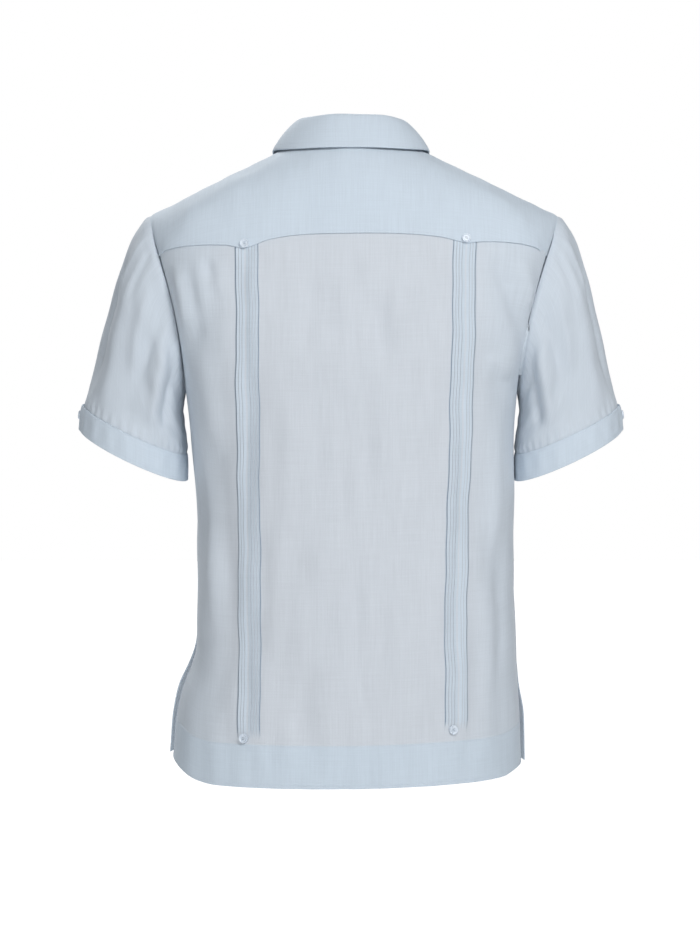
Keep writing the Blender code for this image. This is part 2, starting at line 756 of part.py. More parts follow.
def make_yoke():
    """Back yoke: from the neck over both shoulders to its front and back seams."""
    columns = yoke_columns()
    rows = []
    for index in range(YOKE_PARTS + 1):
        row = []
        for end, arrive, turn in columns:
            start = neck(turn)
            reach = (end - start).length
            out = Vector((end.x - start.x, end.y - start.y, 0.0)).normalized()
            facing_back = ease((math.sin(math.radians(turn)) - 0.1) / 0.8)
            slope = math.radians(mix(YOKE_SLOPE_SIDE, YOKE_SLOPE_BACK, facing_back))
            leave = out * math.cos(slope) - UP * math.sin(slope)
            straight = (end - start).normalized()
            past = YOKE_NECK_TURN + YOKE_FLAT_TURN - min(turn, 180.0 - turn)
            front = ease(past / YOKE_FLAT_TURN)
            leave = leave.lerp(straight, front)
            arrival = arrive.lerp(straight, front)
            share = index / YOKE_PARTS
            row.append(curve_between(start, leave * reach, end, arrival * reach, share))
        rows.append(row)
    span = YOKE_BACK_STEP - YOKE_FRONT_STEP
    last = len(columns) - 1
    rims = {(YOKE_PARTS, j): body_normal(columns[j][0].x, columns[j][0].z, BACK)
            for j in range(span + 1, last - span)}
    for k in range(span + 1):
        rims[(YOKE_PARTS, k)] = armhole_out(LEFT, YOKE_FRONT_STEP + k)
        rims[(YOKE_PARTS, last - k)] = armhole_out(RIGHT, YOKE_FRONT_STEP + k)
    wall("back_yoke", rows, DOUBLE, DOUBLE_BLUE, rim_out=rims)


# ---------------------------------------------------------------- collar

def stand_top(turn):
    """Top edge of the collar stand."""
    front = (1.0 - math.sin(math.radians(turn))) / 2.0
    return neck(turn, STAND_HEIGHT - STAND_FALL * front, STAND_LEAN)


def collar_turns(reach):
    """Neck turns of the collar's columns when its ends lie `reach` from the centre back."""
    scale = reach / COLLAR_AWAY[-1]
    left = [90.0 - away * scale for away in reversed(COLLAR_AWAY)]
    return left + [90.0 + away * scale for away in COLLAR_AWAY[1:]]


def make_collar_stand():
    """Collar stand: an upright band round the neck, open at the centre front."""
    turns = collar_turns(COLLAR_AWAY[-1])
    rows = []
    for share in (0.0, 0.5, 1.0):
        rows.append([neck(turn, STAND_CLEAR).lerp(stand_top(turn), share) for turn in turns])
    wall("collar_stand", rows, DOUBLE, DOUBLE_BLUE)


def fall_edge(turn):
    """Outer edge of the collar's fall."""
    away = abs(turn - 90.0)
    top = stand_top(turn)
    out = Vector((math.cos(math.radians(turn)), math.sin(math.radians(turn)), 0.0))
    step = read(FALL_EDGE, "turn", "out", away)
    return top + out * step - UP * read(FALL_EDGE, "turn", "drop", away)


def make_collar_fall():
    """Collar fall: rises off the stand, turns over and spreads down to the points."""
    rows = []
    for index in range(FALL_PARTS + 1):
        share = index / FALL_PARTS
        row = []
        for turn in collar_turns(mix(COLLAR_AWAY[-1], POINT_REACH, ease(share))):
            top = stand_top(turn)
            out = Vector((math.cos(math.radians(turn)), math.sin(math.radians(turn)), 0.0))
            start = top + UP * FALL_CLEAR
            row.append(curve_between(start, UP * FALL_RISE + out * FALL_ROLL, fall_edge(turn),
                                     out * FALL_SPREAD - UP * FALL_DIP, share))
        rows.append(row)
    wall("collar_fall", rows, DOUBLE, DOUBLE_BLUE, ends=False)


# ---------------------------------------------------------------- sleeves and cuffs

def cuff_ring(name):
    """Sizes of one of the cuff's rings."""
    return next(ring for ring in CUFF_RINGS if ring["name"] == name)


def cuff_point(side, angle, share, lift=0.0):
    """Point of the cuff: share 0 is its seam, 1 its lower edge; angle 0 is the outer side."""
    top, hem = cuff_ring("seam"), cuff_ring("hem")
    size = {key: mix(top[key], hem[key], share) for key in ("x", "z", "half", "rise", "tilt")}
    turn = math.radians(angle)
    long = Vector((size["half"], 0.0, size["rise"]))
    deep = Vector((0.0, CUFF_HALF_DEPTH, -size["tilt"]))
    radial = long * math.cos(turn) + deep * math.sin(turn)
    point = Vector((size["x"], 0.0, size["z"])) + radial + radial.normalized() * lift
    return Vector((point.x * side, point.y, point.z))


def cuff_out(side, step):
    """Direction that the sleeve and the cuff share at their seam."""
    middle = (cuff_point(side, ring_angle(step), 0.0) + cuff_point(side, ring_angle(step) + 180.0, 0.0)) / 2
    return (cuff_point(side, ring_angle(step), 0.0) - middle).normalized()


def sleeve_core(side, point):
    """Middle of the sleeve near a point."""
    top = Vector((SLEEVE_TOP_X * side, 0.0, (ARM_PIT + ARM_TOP) / 2))
    low = Vector((SLEEVE_LOW_X * side, 0.0, cuff_ring("seam")["z"]))
    way = low - top
    share = min(1.0, max(0.0, (point - top).dot(way) / way.length_squared))
    return top + way * share


def sleeve_point(side, step, share):
    """Point of the sleeve from the armhole (0) to the cuff seam (1)."""
    angle = ring_angle(step)
    turn = math.radians(angle)
    high = (1.0 + math.cos(turn)) / 2.0
    across = abs(math.sin(turn))
    start, end = armhole(side, step), cuff_point(side, angle, 0.0)
    pull = SLEEVE_PULL
    under, over, beside = pull["leave_reach"]
    leave = Vector((side * mix(*pull["leave_out"], high), pull["leave_back"] * math.sin(turn),
                    -mix(*pull["leave_down"], high)))
    leave = leave.normalized() * (mix(under, over, high) + beside * across)
    under, over, beside = pull["arrive_reach"]
    arrive = Vector((side * mix(*pull["arrive_out"], high), 0.0, -1.0)).normalized()
    arrive = arrive * (mix(under, over, high) + beside * across)
    point = curve_between(start, leave, end, arrive, share)
    out = (point - sleeve_core(side, point)).normalized()
    rise = 0.0
    for fold in SLEEVE_FOLDS:
        away = (angle - fold["ring"] + 180.0) % 360.0 - 180.0
        if fold["start"] < share < fold["end"]:
            along = (share - fold["start"]) / (fold["end"] - fold["start"])
            rise += fold["height"] * math.exp(-(away / fold["wide"]) ** 2) * math.sin(math.pi * along)
    return point + out * rise


def make_sleeve(name, side):
    """Sleeve: a tube lofted from the armhole to the cuff seam."""
    rows = []
    for index in range(SLEEVE_PARTS + 1):
        share = index / SLEEVE_PARTS
        rows.append([sleeve_point(side, step, share) for step in range(RING)])
    rims = {(0, step): armhole_out(side, step) for step in range(RING)}
    rims.update({(SLEEVE_PARTS, step): cuff_out(side, step) for step in range(RING)})
    wall(name, rows, CLOTH, PALE_BLUE, closed=True, rim_out=rims,
         core=lambda point: sleeve_core(side, point))


def make_cuff(name, side):
    """Cuff: a band round the sleeve's end whose upper end laps over the other on the outside."""
    rows = []
    for share in (0.0, 0.5, 1.0):
        row = []
        for step in range(-CUFF_OVERLAP_STEPS, RING + 1):
            over = CUFF_LIFT if step <= 0 else 0.0
            row.append(cuff_point(side, ring_angle(step), share, CUFF_PROUD + over))
        rows.append(row)
    rims = {(0, step + CUFF_OVERLAP_STEPS): cuff_out(side, step)
            for step in range(-CUFF_OVERLAP_STEPS, RING + 1)}
    wall(name, rows, DOUBLE, DOUBLE_BLUE, rim_out=rims,
         core=lambda point: sleeve_core(side, point))


# ---------------------------------------------------------------- band, pockets, buttons

def make_band():
    """Front band: a double strip down the left front's edge, over the right front."""
    columns = [front_column(x, LEFT, BAND_PROUD) for x in (-BAND_HALF, CENTRE, BAND_HALF)]
    wall("front_band", rows_of(columns), DOUBLE, DOUBLE_BLUE)


def make_pocket(name, side):
    """Chest pocket: a patch with a pointed lower edge, on the front's tuck column."""
    rows = []
    down, wide = POCKET_GRID
    for i in range(down + 1):
        row = []
        for j in range(wide + 1):
            across = mix(-1.0, 1.0, j / wide)
            length = POCKET_HEIGHT - POCKET_POINT * abs(across)
            z = POCKET_TOP - length * i / down
            x = side * (TUCK_FRONT + across * POCKET_WIDTH / 2)
            row.append(body_at(x, z, FRONT, POCKET_PROUD))
        rows.append(row)
    wall(name, rows, CLOTH, PALE_BLUE, ends=False)


def add_button(name, point, normal):
    """Button: a disc with a dished face, standing on a surface."""
    mesh = bmesh.new()
    bmesh.ops.create_cone(mesh, cap_ends=True, segments=BUTTON_SIDES, radius1=BUTTON_RADIUS,
                          radius2=BUTTON_RADIUS * BUTTON_TAPER, depth=BUTTON_THICK)
    face = max(mesh.faces, key=lambda item: item.calc_center_median().z)
    bmesh.ops.inset_region(mesh, faces=[face], thickness=BUTTON_RADIUS * BUTTON_RIM)
    bmesh.ops.translate(mesh, verts=face.verts, vec=(0.0, 0.0, -BUTTON_THICK * BUTTON_DISH))
    turn = normal.to_track_quat("Z", "Y").to_matrix().to_4x4()
    place = Matrix.Translation(point + normal * (BUTTON_THICK / 2 + SEAM)) @ turn
    bmesh.ops.transform(mesh, matrix=place, verts=mesh.verts)
    add_object(name, mesh, PEARL, 0.3)


def make_buttons():
    """Buttons of the front band, the back's yoke points and tuck ends, and the cuffs."""
    middle = front_column(CENTRE, LEFT, BAND_PROUD + SEAM)
    for index in range(FRONT_BUTTONS):
        z = FRONT_BUTTON_TOP - index * FRONT_BUTTON_PITCH
        above = next(k for k, point in enumerate(middle) if point.z > z)
        low, high = middle[above - 1], middle[above]
        upward = (high - low).normalized()
        point = low.lerp(high, (z - low.z) / (high.z - low.z))
        add_button("button_front_%d" % (index + 1), point, Vector((0.0, -upward.z, upward.y)))
    for spot in BACK_BUTTONS:
        normal = body_normal(spot["x"], spot["z"], BACK)
        point = body_at(spot["x"], spot["z"], BACK, BACK_BUTTON_LIFT)
        add_button(spot["name"], point, normal)
    for name, side in (("button_cuff_left", LEFT), ("button_cuff_right", RIGHT)):
        turn, share = CUFF_BUTTON_TURN, CUFF_BUTTON_SHARE
        point = cuff_point(side, turn, share, CUFF_PROUD + CUFF_LIFT + SEAM)
        along = (cuff_point(side, turn + CUFF_BUTTON_SPAN, share)
                 - cuff_point(side, turn - CUFF_BUTTON_SPAN, share))
        down = cuff_point(side, turn, 1.0) - cuff_point(side, turn, 0.0)
        normal = along.cross(down).normalized()
        add_button(name, point, normal if normal.x * side > 0 else -normal)


def build():
    """Clear the scene and make every piece."""
    for item in list(bpy.data.objects):
        bpy.data.objects.remove(item, do_unlink=True)
    make_back()
    make_fronts()
    make_yoke()
    make_collar_stand()
    make_collar_fall()
    for name, side in (("left", LEFT), ("right", RIGHT)):
        make_sleeve("sleeve_" + name, side)
        make_cuff("cuff_" + name, side)
        make_pocket("pocket_" + name, side)
    make_band()
    make_buttons()


build()
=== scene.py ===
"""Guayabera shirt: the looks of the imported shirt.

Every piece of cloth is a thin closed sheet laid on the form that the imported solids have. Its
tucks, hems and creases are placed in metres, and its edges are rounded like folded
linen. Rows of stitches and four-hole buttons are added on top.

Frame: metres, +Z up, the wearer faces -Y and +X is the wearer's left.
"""

from __future__ import annotations

import logging
import math
from dataclasses import dataclass, field
from enum import Enum, IntEnum
from typing import Sequence

import bpy
import numpy as np
from mathutils import Matrix, Vector


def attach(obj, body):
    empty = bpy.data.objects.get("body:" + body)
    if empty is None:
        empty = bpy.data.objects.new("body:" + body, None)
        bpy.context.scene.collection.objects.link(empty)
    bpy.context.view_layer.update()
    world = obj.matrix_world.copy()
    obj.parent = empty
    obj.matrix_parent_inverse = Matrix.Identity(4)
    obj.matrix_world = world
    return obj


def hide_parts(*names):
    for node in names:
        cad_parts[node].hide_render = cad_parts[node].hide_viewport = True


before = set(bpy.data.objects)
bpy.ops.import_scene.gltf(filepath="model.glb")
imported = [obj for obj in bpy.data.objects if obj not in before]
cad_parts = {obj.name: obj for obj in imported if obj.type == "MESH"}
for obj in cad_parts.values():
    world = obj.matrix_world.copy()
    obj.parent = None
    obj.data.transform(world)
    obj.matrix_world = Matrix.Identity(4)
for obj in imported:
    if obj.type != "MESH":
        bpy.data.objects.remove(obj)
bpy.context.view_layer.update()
log = logging.getLogger("guayabera")
Array = np.ndarray
Point = tuple[float, float, float]


class Side(IntEnum):
    """The wearer's sides."""

    LEFT = 1
    RIGHT = -1


class Face(IntEnum):
    """Back and front of the body."""

    BACK = 1
    FRONT = -1


class Edge(Enum):
    """Edges of a sheet's grid."""

    BOTTOM = "first row"
    TOP = "last row"
    FIRST = "first column"
    LAST = "last column"


SIDE_NAMES = {Side.LEFT: "left", Side.RIGHT: "right"}


# ---------------------------------------------------------------- plain mathematics


def ease(value: Array) -> Array:
    """Smooth step from 0 to 1."""
    value = np.clip(value, 0.0, 1.0)
    return value * value * (3.0 - 2.0 * value)


def mix(low: Array, high: Array, share: Array) -> Array:
    """Values between low and high."""
    return low + (high - low) * share


def unit(vectors: Array) -> Array:
    """Vectors made one long."""
    size = np.linalg.norm(vectors, axis=-1, keepdims=True)
    return vectors / np.maximum(size, 1e-12)


def bump(value: Array, wide: float) -> Array:
    """A round bump that is 1 at 0 and fades out over about twice `wide`."""
    return np.exp(-(value / wide) ** 2)


def groove(distance: Array, deep: float, reach: float) -> Array:
    """The dip of the cloth beside a seam, negative and deepest on it."""
    return -deep * np.exp(-(np.maximum(distance, 0.0) / reach) ** 1.5)


def stack(x: Array, y: Array, z: Array) -> Array:
    """Points from their coordinates."""
    return np.stack(np.broadcast_arrays(x, y, z), axis=-1).astype(float)


def spans(*stops: tuple[float, int]) -> Array:
    """Values from one stop to the next.

    Args:
        stops: pairs of a value and the number of steps that lead to it; the first has none.

    Returns:
        All the values, each once.
    """
    values = [stops[0][0]]
    for (low, _), (high, steps) in zip(stops, stops[1:]):
        values += [low + (high - low) * (k + 1) / steps for k in range(steps)]
    return np.array(values)


def curve_between(start: Array, leave: Array, end: Array, arrive: Array, share: Array) -> Array:
    """Cubic from start to end with the given end tangents.

    Args:
        start, leave, end, arrive: values or points.
        share: how far along, from 0 to 1, in a shape that broadcasts with them.

    Returns:
        The values or points on the cubic.
    """
    s2, s3 = share * share, share ** 3
    return (start * (2 * s3 - 3 * s2 + 1) + leave * (s3 - 2 * s2 + share)
            + end * (3 * s2 - 2 * s3) + arrive * (s3 - s2))


@dataclass(frozen=True)
class Table:
    """Rows of numbers under named columns, read smoothly along the first column."""

    names: str
    rows: tuple[tuple[float, ...], ...]

    def read(self, name: str, at: Array) -> Array:
        """Smooth values of a column.

        Args:
            name: the column.
            at: where to read, in the first column's unit.

        Returns:
            The values, in the shape of at.
        """
        grid = np.array(self.rows, float)
        x, y = grid[:, 0], grid[:, self.names.split().index(name)]
        last = len(x) - 1
        low, high = np.maximum(np.arange(last + 1) - 1, 0), np.minimum(np.arange(last + 1) + 1, last)
        slope = (y[high] - y[low]) / (x[high] - x[low])
        at = np.clip(np.asarray(at, float), x[0], x[-1])
        slot = np.clip(np.searchsorted(x, at) - 1, 0, last - 1)
        span = x[slot + 1] - x[slot]
        share = (at - x[slot]) / span
        return curve_between(y[slot], slope[slot] * span, y[slot + 1], slope[slot + 1] * span, share)


# ---------------------------------------------------------------- the body's form


@dataclass(frozen=True)
class BodyForm:
    """The worn body of the shirt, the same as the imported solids' form."""

    sections: Table = Table("z left right back front boxy", (
        (-0.760, 0.217, 0.203, 0.136, 0.140, 2.5),
        (-0.700, 0.212, 0.201, 0.135, 0.142, 2.5),
        (-0.660, 0.209, 0.200, 0.134, 0.143, 2.45),
        (-0.630, 0.202, 0.199, 0.133, 0.144, 2.4),
        (-0.600, 0.191, 0.199, 0.132, 0.145, 2.4),
        (-0.565, 0.183, 0.198, 0.130, 0.145, 2.4),
        (-0.450, 0.184, 0.194, 0.126, 0.144, 2.4),
        (-0.350, 0.190, 0.192, 0.126, 0.142, 2.5),
        (-0.275, 0.197, 0.198, 0.129, 0.138, 2.7),
        (-0.235, 0.206, 0.208, 0.130, 0.134, 2.9),
        (-0.190, 0.218, 0.221, 0.128, 0.128, 3.1),
        (-0.140, 0.231, 0.2355, 0.124, 0.118, 3.2),
        (-0.100, 0.239, 0.2445, 0.117, 0.104, 3.2),
        (-0.060, 0.2405, 0.2475, 0.106, 0.090, 3.2)))
    folds: Table = Table("turn wide top bottom lean height", (
        (24.0, 7.0, -0.26, -0.62, 14.0, 0.0045),
        (37.0, 6.0, -0.30, -0.70, 8.0, -0.0035),
        (152.0, 7.0, -0.26, -0.60, -16.0, 0.0050),
        (140.0, 6.0, -0.30, -0.72, -10.0, -0.0035),
        (86.0, 9.0, -0.36, -0.74, 4.0, 0.0030),
        (-30.0, 8.0, -0.26, -0.64, -12.0, 0.0050),
        (-48.0, 8.0, -0.34, -0.70, -6.0, -0.0035),
        (212.0, 8.0, -0.26, -0.62, 14.0, 0.0050),
        (230.0, 8.0, -0.34, -0.72, 6.0, -0.0035)))
    back_seam: Table = Table("x z", (
        (-0.2300, -0.1138), (-0.2150, -0.1050), (-0.1800, -0.1005), (-0.1500, -0.1005),
        (-0.1335, -0.1020), (-0.1050, -0.0955), (-0.0600, -0.0915), (0.0000, -0.0910),
        (0.0600, -0.0930), (0.0950, -0.0985), (0.1225, -0.1080), (0.1450, -0.1045),
        (0.1850, -0.1040), (0.2150, -0.1075), (0.2280, -0.1138)))
    back_hem: Table = Table("x z", (
        (-0.206, -0.7120), (-0.197, -0.7158), (-0.179, -0.7237), (-0.115, -0.7283),
        (0.000, -0.7320), (0.150, -0.7310), (0.180, -0.7270), (0.200, -0.7165), (0.215, -0.7040)))
    front_hem: Table = Table("x z", (
        (-0.206, -0.714), (-0.120, -0.720), (0.000, -0.722), (0.120, -0.719), (0.215, -0.704)))
    arm_top: float = -0.060
    arm_pit: float = -0.275
    arm_deep: float = 0.073
    ring: int = 24
    back_step: int = 4
    front_step: int = -2
    chest_top: float = -0.080
    side_start: float = 0.10
    neck_half: float = 0.072
    neck_back: float = 0.058
    neck_front: float = 0.080
    neck_height: float = 0.022
    neck_drop: float = 0.066

    def fold_rise(self, angle: Array, z: Array) -> Array:
        """How far the largest folds stand out at an angle in degrees and a height."""
        rise = 0.0
        for turn, wide, top, bottom, lean, height in self.folds.rows:
            down = np.clip((top - z) / (top - bottom), 0.0, 1.0)
            away = (angle - turn - lean * down + 180.0) % 360.0 - 180.0
            rise = rise + height * bump(away, wide) * np.sin(math.pi * down)
        return rise

    def point(self, angle: Array, z: Array) -> Array:
        """Points of the body; 0 degrees is the wearer's left, 90 the back, 180 the right."""
        angle, z = np.broadcast_arrays(np.asarray(angle, float), np.asarray(z, float))
        turn = np.radians(angle)
        c, s = np.cos(turn), np.sin(turn)
        wide = np.where(c > 0, self.sections.read("left", z), self.sections.read("right", z))
        deep = np.where(s > 0, self.sections.read("back", z), self.sections.read("front", z))
        power = 2.0 / self.sections.read("boxy", z)
        rise = self.fold_rise(angle, z)
        x = np.sign(c) * wide * np.abs(c) ** power + rise * c
        y = np.sign(s) * deep * np.abs(s) ** power + rise * s
        return stack(x, y, z)

    def angle_at_x(self, x: Array, z: Array, face: Face) -> Array:
        """Angle of the body's points with a given x, on its back or front."""
        x = np.asarray(x, float)
        wide = np.where(x > 0, self.sections.read("left", z), self.sections.read("right", z))
        c = np.minimum(1.0, np.abs(x) / wide) ** (self.sections.read("boxy", z) / 2.0)
        return np.degrees(np.arccos(np.sign(x) * c)) * int(face)

    def angle_at_y(self, y: Array, z: Array, side: Side) -> Array:
        """Angle of the body's points with a given y, on one side."""
        y = np.asarray(y, float)
        deep = np.where(y > 0, self.sections.read("back", z), self.sections.read("front", z))
        s = np.minimum(1.0, np.abs(y) / deep) ** (self.sections.read("boxy", z) / 2.0)
        way = np.where(y > 0, 1.0, -1.0)
        turn = np.degrees(np.arcsin(s)) * way
        return turn if side == Side.LEFT else 180.0 * way - turn

    def at(self, x: Array, z: Array, face: Face) -> Array:
        """Points of the body's back or front at x and z."""
        return self.point(self.angle_at_x(x, z, face), z)

    def armhole(self, side: Side, step: Array) -> Array:
        """Points of the armhole seam; step 0 is the shoulder, 6 the back and 12 the armpit."""
        turn = 2.0 * math.pi * np.asarray(step, float) / self.ring
        z = mix(self.arm_pit, self.arm_top, (1.0 + np.cos(turn)) / 2.0)
        return self.point(self.angle_at_y(self.arm_deep * np.sin(turn), z, side), z)

    def neck(self, turn: Array, lift: Array = 0.0, lean: Array = 0.0) -> Array:
        """Points of the neck seam; 0 degrees is the wearer's left and 90 the back."""
        c, s = np.cos(np.radians(turn)), np.sin(np.radians(turn))
        deep = np.where(s > 0, self.neck_back, self.neck_front)
        drop = self.neck_drop * np.maximum(0.0, -s) ** 1.5
        return stack((self.neck_half - lean) * c, (deep - lean) * s, self.neck_height - drop + lift)

    def hem(self, x: Array, face: Face) -> Array:
        """Height of the hem at x."""
        return (self.back_hem if face == Face.BACK else self.front_hem).read("z", x)

    def seam(self, x: Array) -> Array:
        """Height of the yoke's back seam at x."""
        return self.back_seam.read("z", x)

    def step_of(self, face: Face, row: Array) -> Array:
        """Armhole step of a row from 1, the armpit, to 2, the yoke."""
        last = self.back_step if face == Face.BACK else self.ring + self.front_step
        return mix(self.ring / 2, last, np.clip(row - 1.0, 0.0, 1.0))

    def height(self, face: Face, side: Side, x: Array, row: Array) -> Array:
        """Height of a row at x.

        Args:
            face: back or front.
            side: the wearer's left or right.
            x: distance from the middle.
            row: 0 is the hem, 1 the armpit and 2 the yoke.

        Returns:
            The heights.
        """
        below = mix(self.hem(x, face), self.arm_pit, np.clip(row, 0.0, 1.0))
        share = np.clip(row - 1.0, 0.0, None)
        edge = self.armhole(side, self.step_of(face, row))
        last = self.armhole(side, self.step_of(face, 2.0))
        edge_share = (edge[..., 2] - self.arm_pit) / (last[..., 2] - self.arm_pit)
        edge_share = edge_share + np.maximum(share - 1.0, 0.0)
        near = ease((np.abs(x) - self.side_start) / (np.abs(edge[..., 0]) - self.side_start))
        top = self.seam(x) if face == Face.BACK else self.chest_top
        above = mix(self.arm_pit, top, mix(share, edge_share, near))
        return np.where(row < 1.0, below, above)


BODY = BodyForm()


@dataclass(frozen=True)
class Vent:
    """An open side vent: where it starts, and how its two edges part."""

    side: Side
    top: float
    back_turn: float
    front_turn: float
    flare: float
    flare_fall: float = 0.060

    def edge(self, face: Face, z: Array) -> Array:
        """Angle of a panel's side edge at a height."""
        turn = self.back_turn if face == Face.BACK else self.front_turn
        opened = ease((self.top - z) / (self.top - BODY.back_hem.rows[0][1])) * turn
        return int(face) * (opened if self.side == Side.LEFT else 180.0 - opened)

    def push(self, points: Array, face: Face) -> Array:
        """Let the front's edge stand out a little more than the back's."""
        if face == Face.BACK:
            return points
        low = ease((self.top - points[..., 2]) / self.flare_fall)
        near = ease((np.abs(points[..., 0]) - BODY.side_start) / BODY.side_start)
        moved = points.copy()
        moved[..., 0] += int(self.side) * self.flare * low * near
        return moved


VENTS = {
    Side.LEFT: Vent(Side.LEFT, -0.562, 4.0, 3.0, 0.006),
    Side.RIGHT: Vent(Side.RIGHT, -0.600, 3.0, 2.0, 0.007),
}


# ---------------------------------------------------------------- creases and tucks


@dataclass(frozen=True)
class Crease:
    """A soft trough (below 0) or ridge of the cloth between two places on it."""

    x0: float
    z0: float
    x1: float
    z1: float
    wide: float
    rise: float
    bow: float = 0.0
    skew: float = 0.0

    def height(self, x: Array, z: Array) -> Array:
        """How far the crease moves the cloth out at places given across and up it."""
        way_x, way_z = self.x1 - self.x0, self.z1 - self.z0
        length = math.hypot(way_x, way_z)
        along = ((x - self.x0) * way_x + (z - self.z0) * way_z) / length ** 2
        off = ((x - self.x0) * way_z - (z - self.z0) * way_x) / length
        off = off - self.bow * 4.0 * along * (1.0 - along)
        wide = self.wide * np.where(off > 0, 1.0 + self.skew, 1.0 - self.skew)
        return self.rise * bump(off, wide) * ease(along / 0.35) * ease((1.0 - along) / 0.35)


@dataclass(frozen=True)
class Waviness:
    """The slight unevenness of worn linen: many faint waves that mostly run up the cloth."""

    seed: int
    across: float = 0.050
    along: float = 0.200
    rise: float = 0.0006
    waves: int = 18

    def height(self, x: Array, z: Array) -> Array:
        """How far the waves move the cloth out at places given across and up it."""
        rng = np.random.default_rng(self.seed)
        total = np.zeros(np.broadcast(x, z).shape)
        for _ in range(self.waves):
            k = 2.0 * math.pi / (self.across * rng.uniform(0.5, 2.4))
            m = 2.0 * math.pi / (self.along * rng.uniform(0.4, 2.0)) * rng.choice([-1.0, 1.0])
            total += np.sin(k * x + m * z + rng.uniform(0.0, 2.0 * math.pi))
        return total * self.rise / math.sqrt(self.waves / 2.0)


@dataclass(frozen=True)
class Tucks:
    """A column of fine stitched tucks in two groups that lie away from its middle."""

    edges: tuple[float, ...] = (0.0104, 0.0072, 0.0040, -0.0042, -0.0075, -0.0109, -0.0143)
    pitch: float = 0.0032
    rise: float = 0.0010
    tail: float = 0.30
    lip: float = 0.00028
    half: float = 0.0175
    flat_parts: tuple[float, ...] = (-0.0160, -0.0020, 0.0, 0.0020, 0.0130)
    near_edge: tuple[float, ...] = (-0.00040, 0.00028, 0.00002, 0.00050, 0.0014, 0.0023)

    def offsets(self) -> Array:
        """Where points lie across the column, close together at each tuck's edge."""
        found = {-self.half, self.half, *self.flat_parts}
        for edge in self.edges:
            way = 1.0 if edge > 0 else -1.0
            found.update(edge - way * back for back in self.near_edge)
            found.add(edge + way * self.lip)
        spots = sorted(found)
        return np.array([spots[0]] + [b for a, b in zip(spots, spots[1:]) if b - a > 1.2e-4])

    def shade(self, off: Array) -> Array:
        """How much painted shade the cloth gets in the crevice beside each tuck's edge, from 0 to 1."""
        total = np.zeros(np.shape(off))
        for edge in self.edges:
            beyond = (off - edge) * (1.0 if edge > 0 else -1.0)
            total = np.maximum(total, bump(beyond - self.lip, 0.00045))
        return total

    def height(self, off: Array) -> Array:
        """Height of the folded cloth at an offset from the column's middle."""
        total = np.zeros(np.shape(off))
        for edge in self.edges:
            way = 1.0 if edge > 0 else -1.0
            behind = (edge - off) * way
            slope = 1.0 - (1.0 - self.tail) * np.clip(behind / self.pitch, 0.0, 1.0)
            inside = ease((behind + self.lip) / self.lip) * ease((1.25 * self.pitch - behind) / 6e-4)
            total = np.maximum(total, self.rise * slope * inside)
        return total


# ---------------------------------------------------------------- sheets of cloth


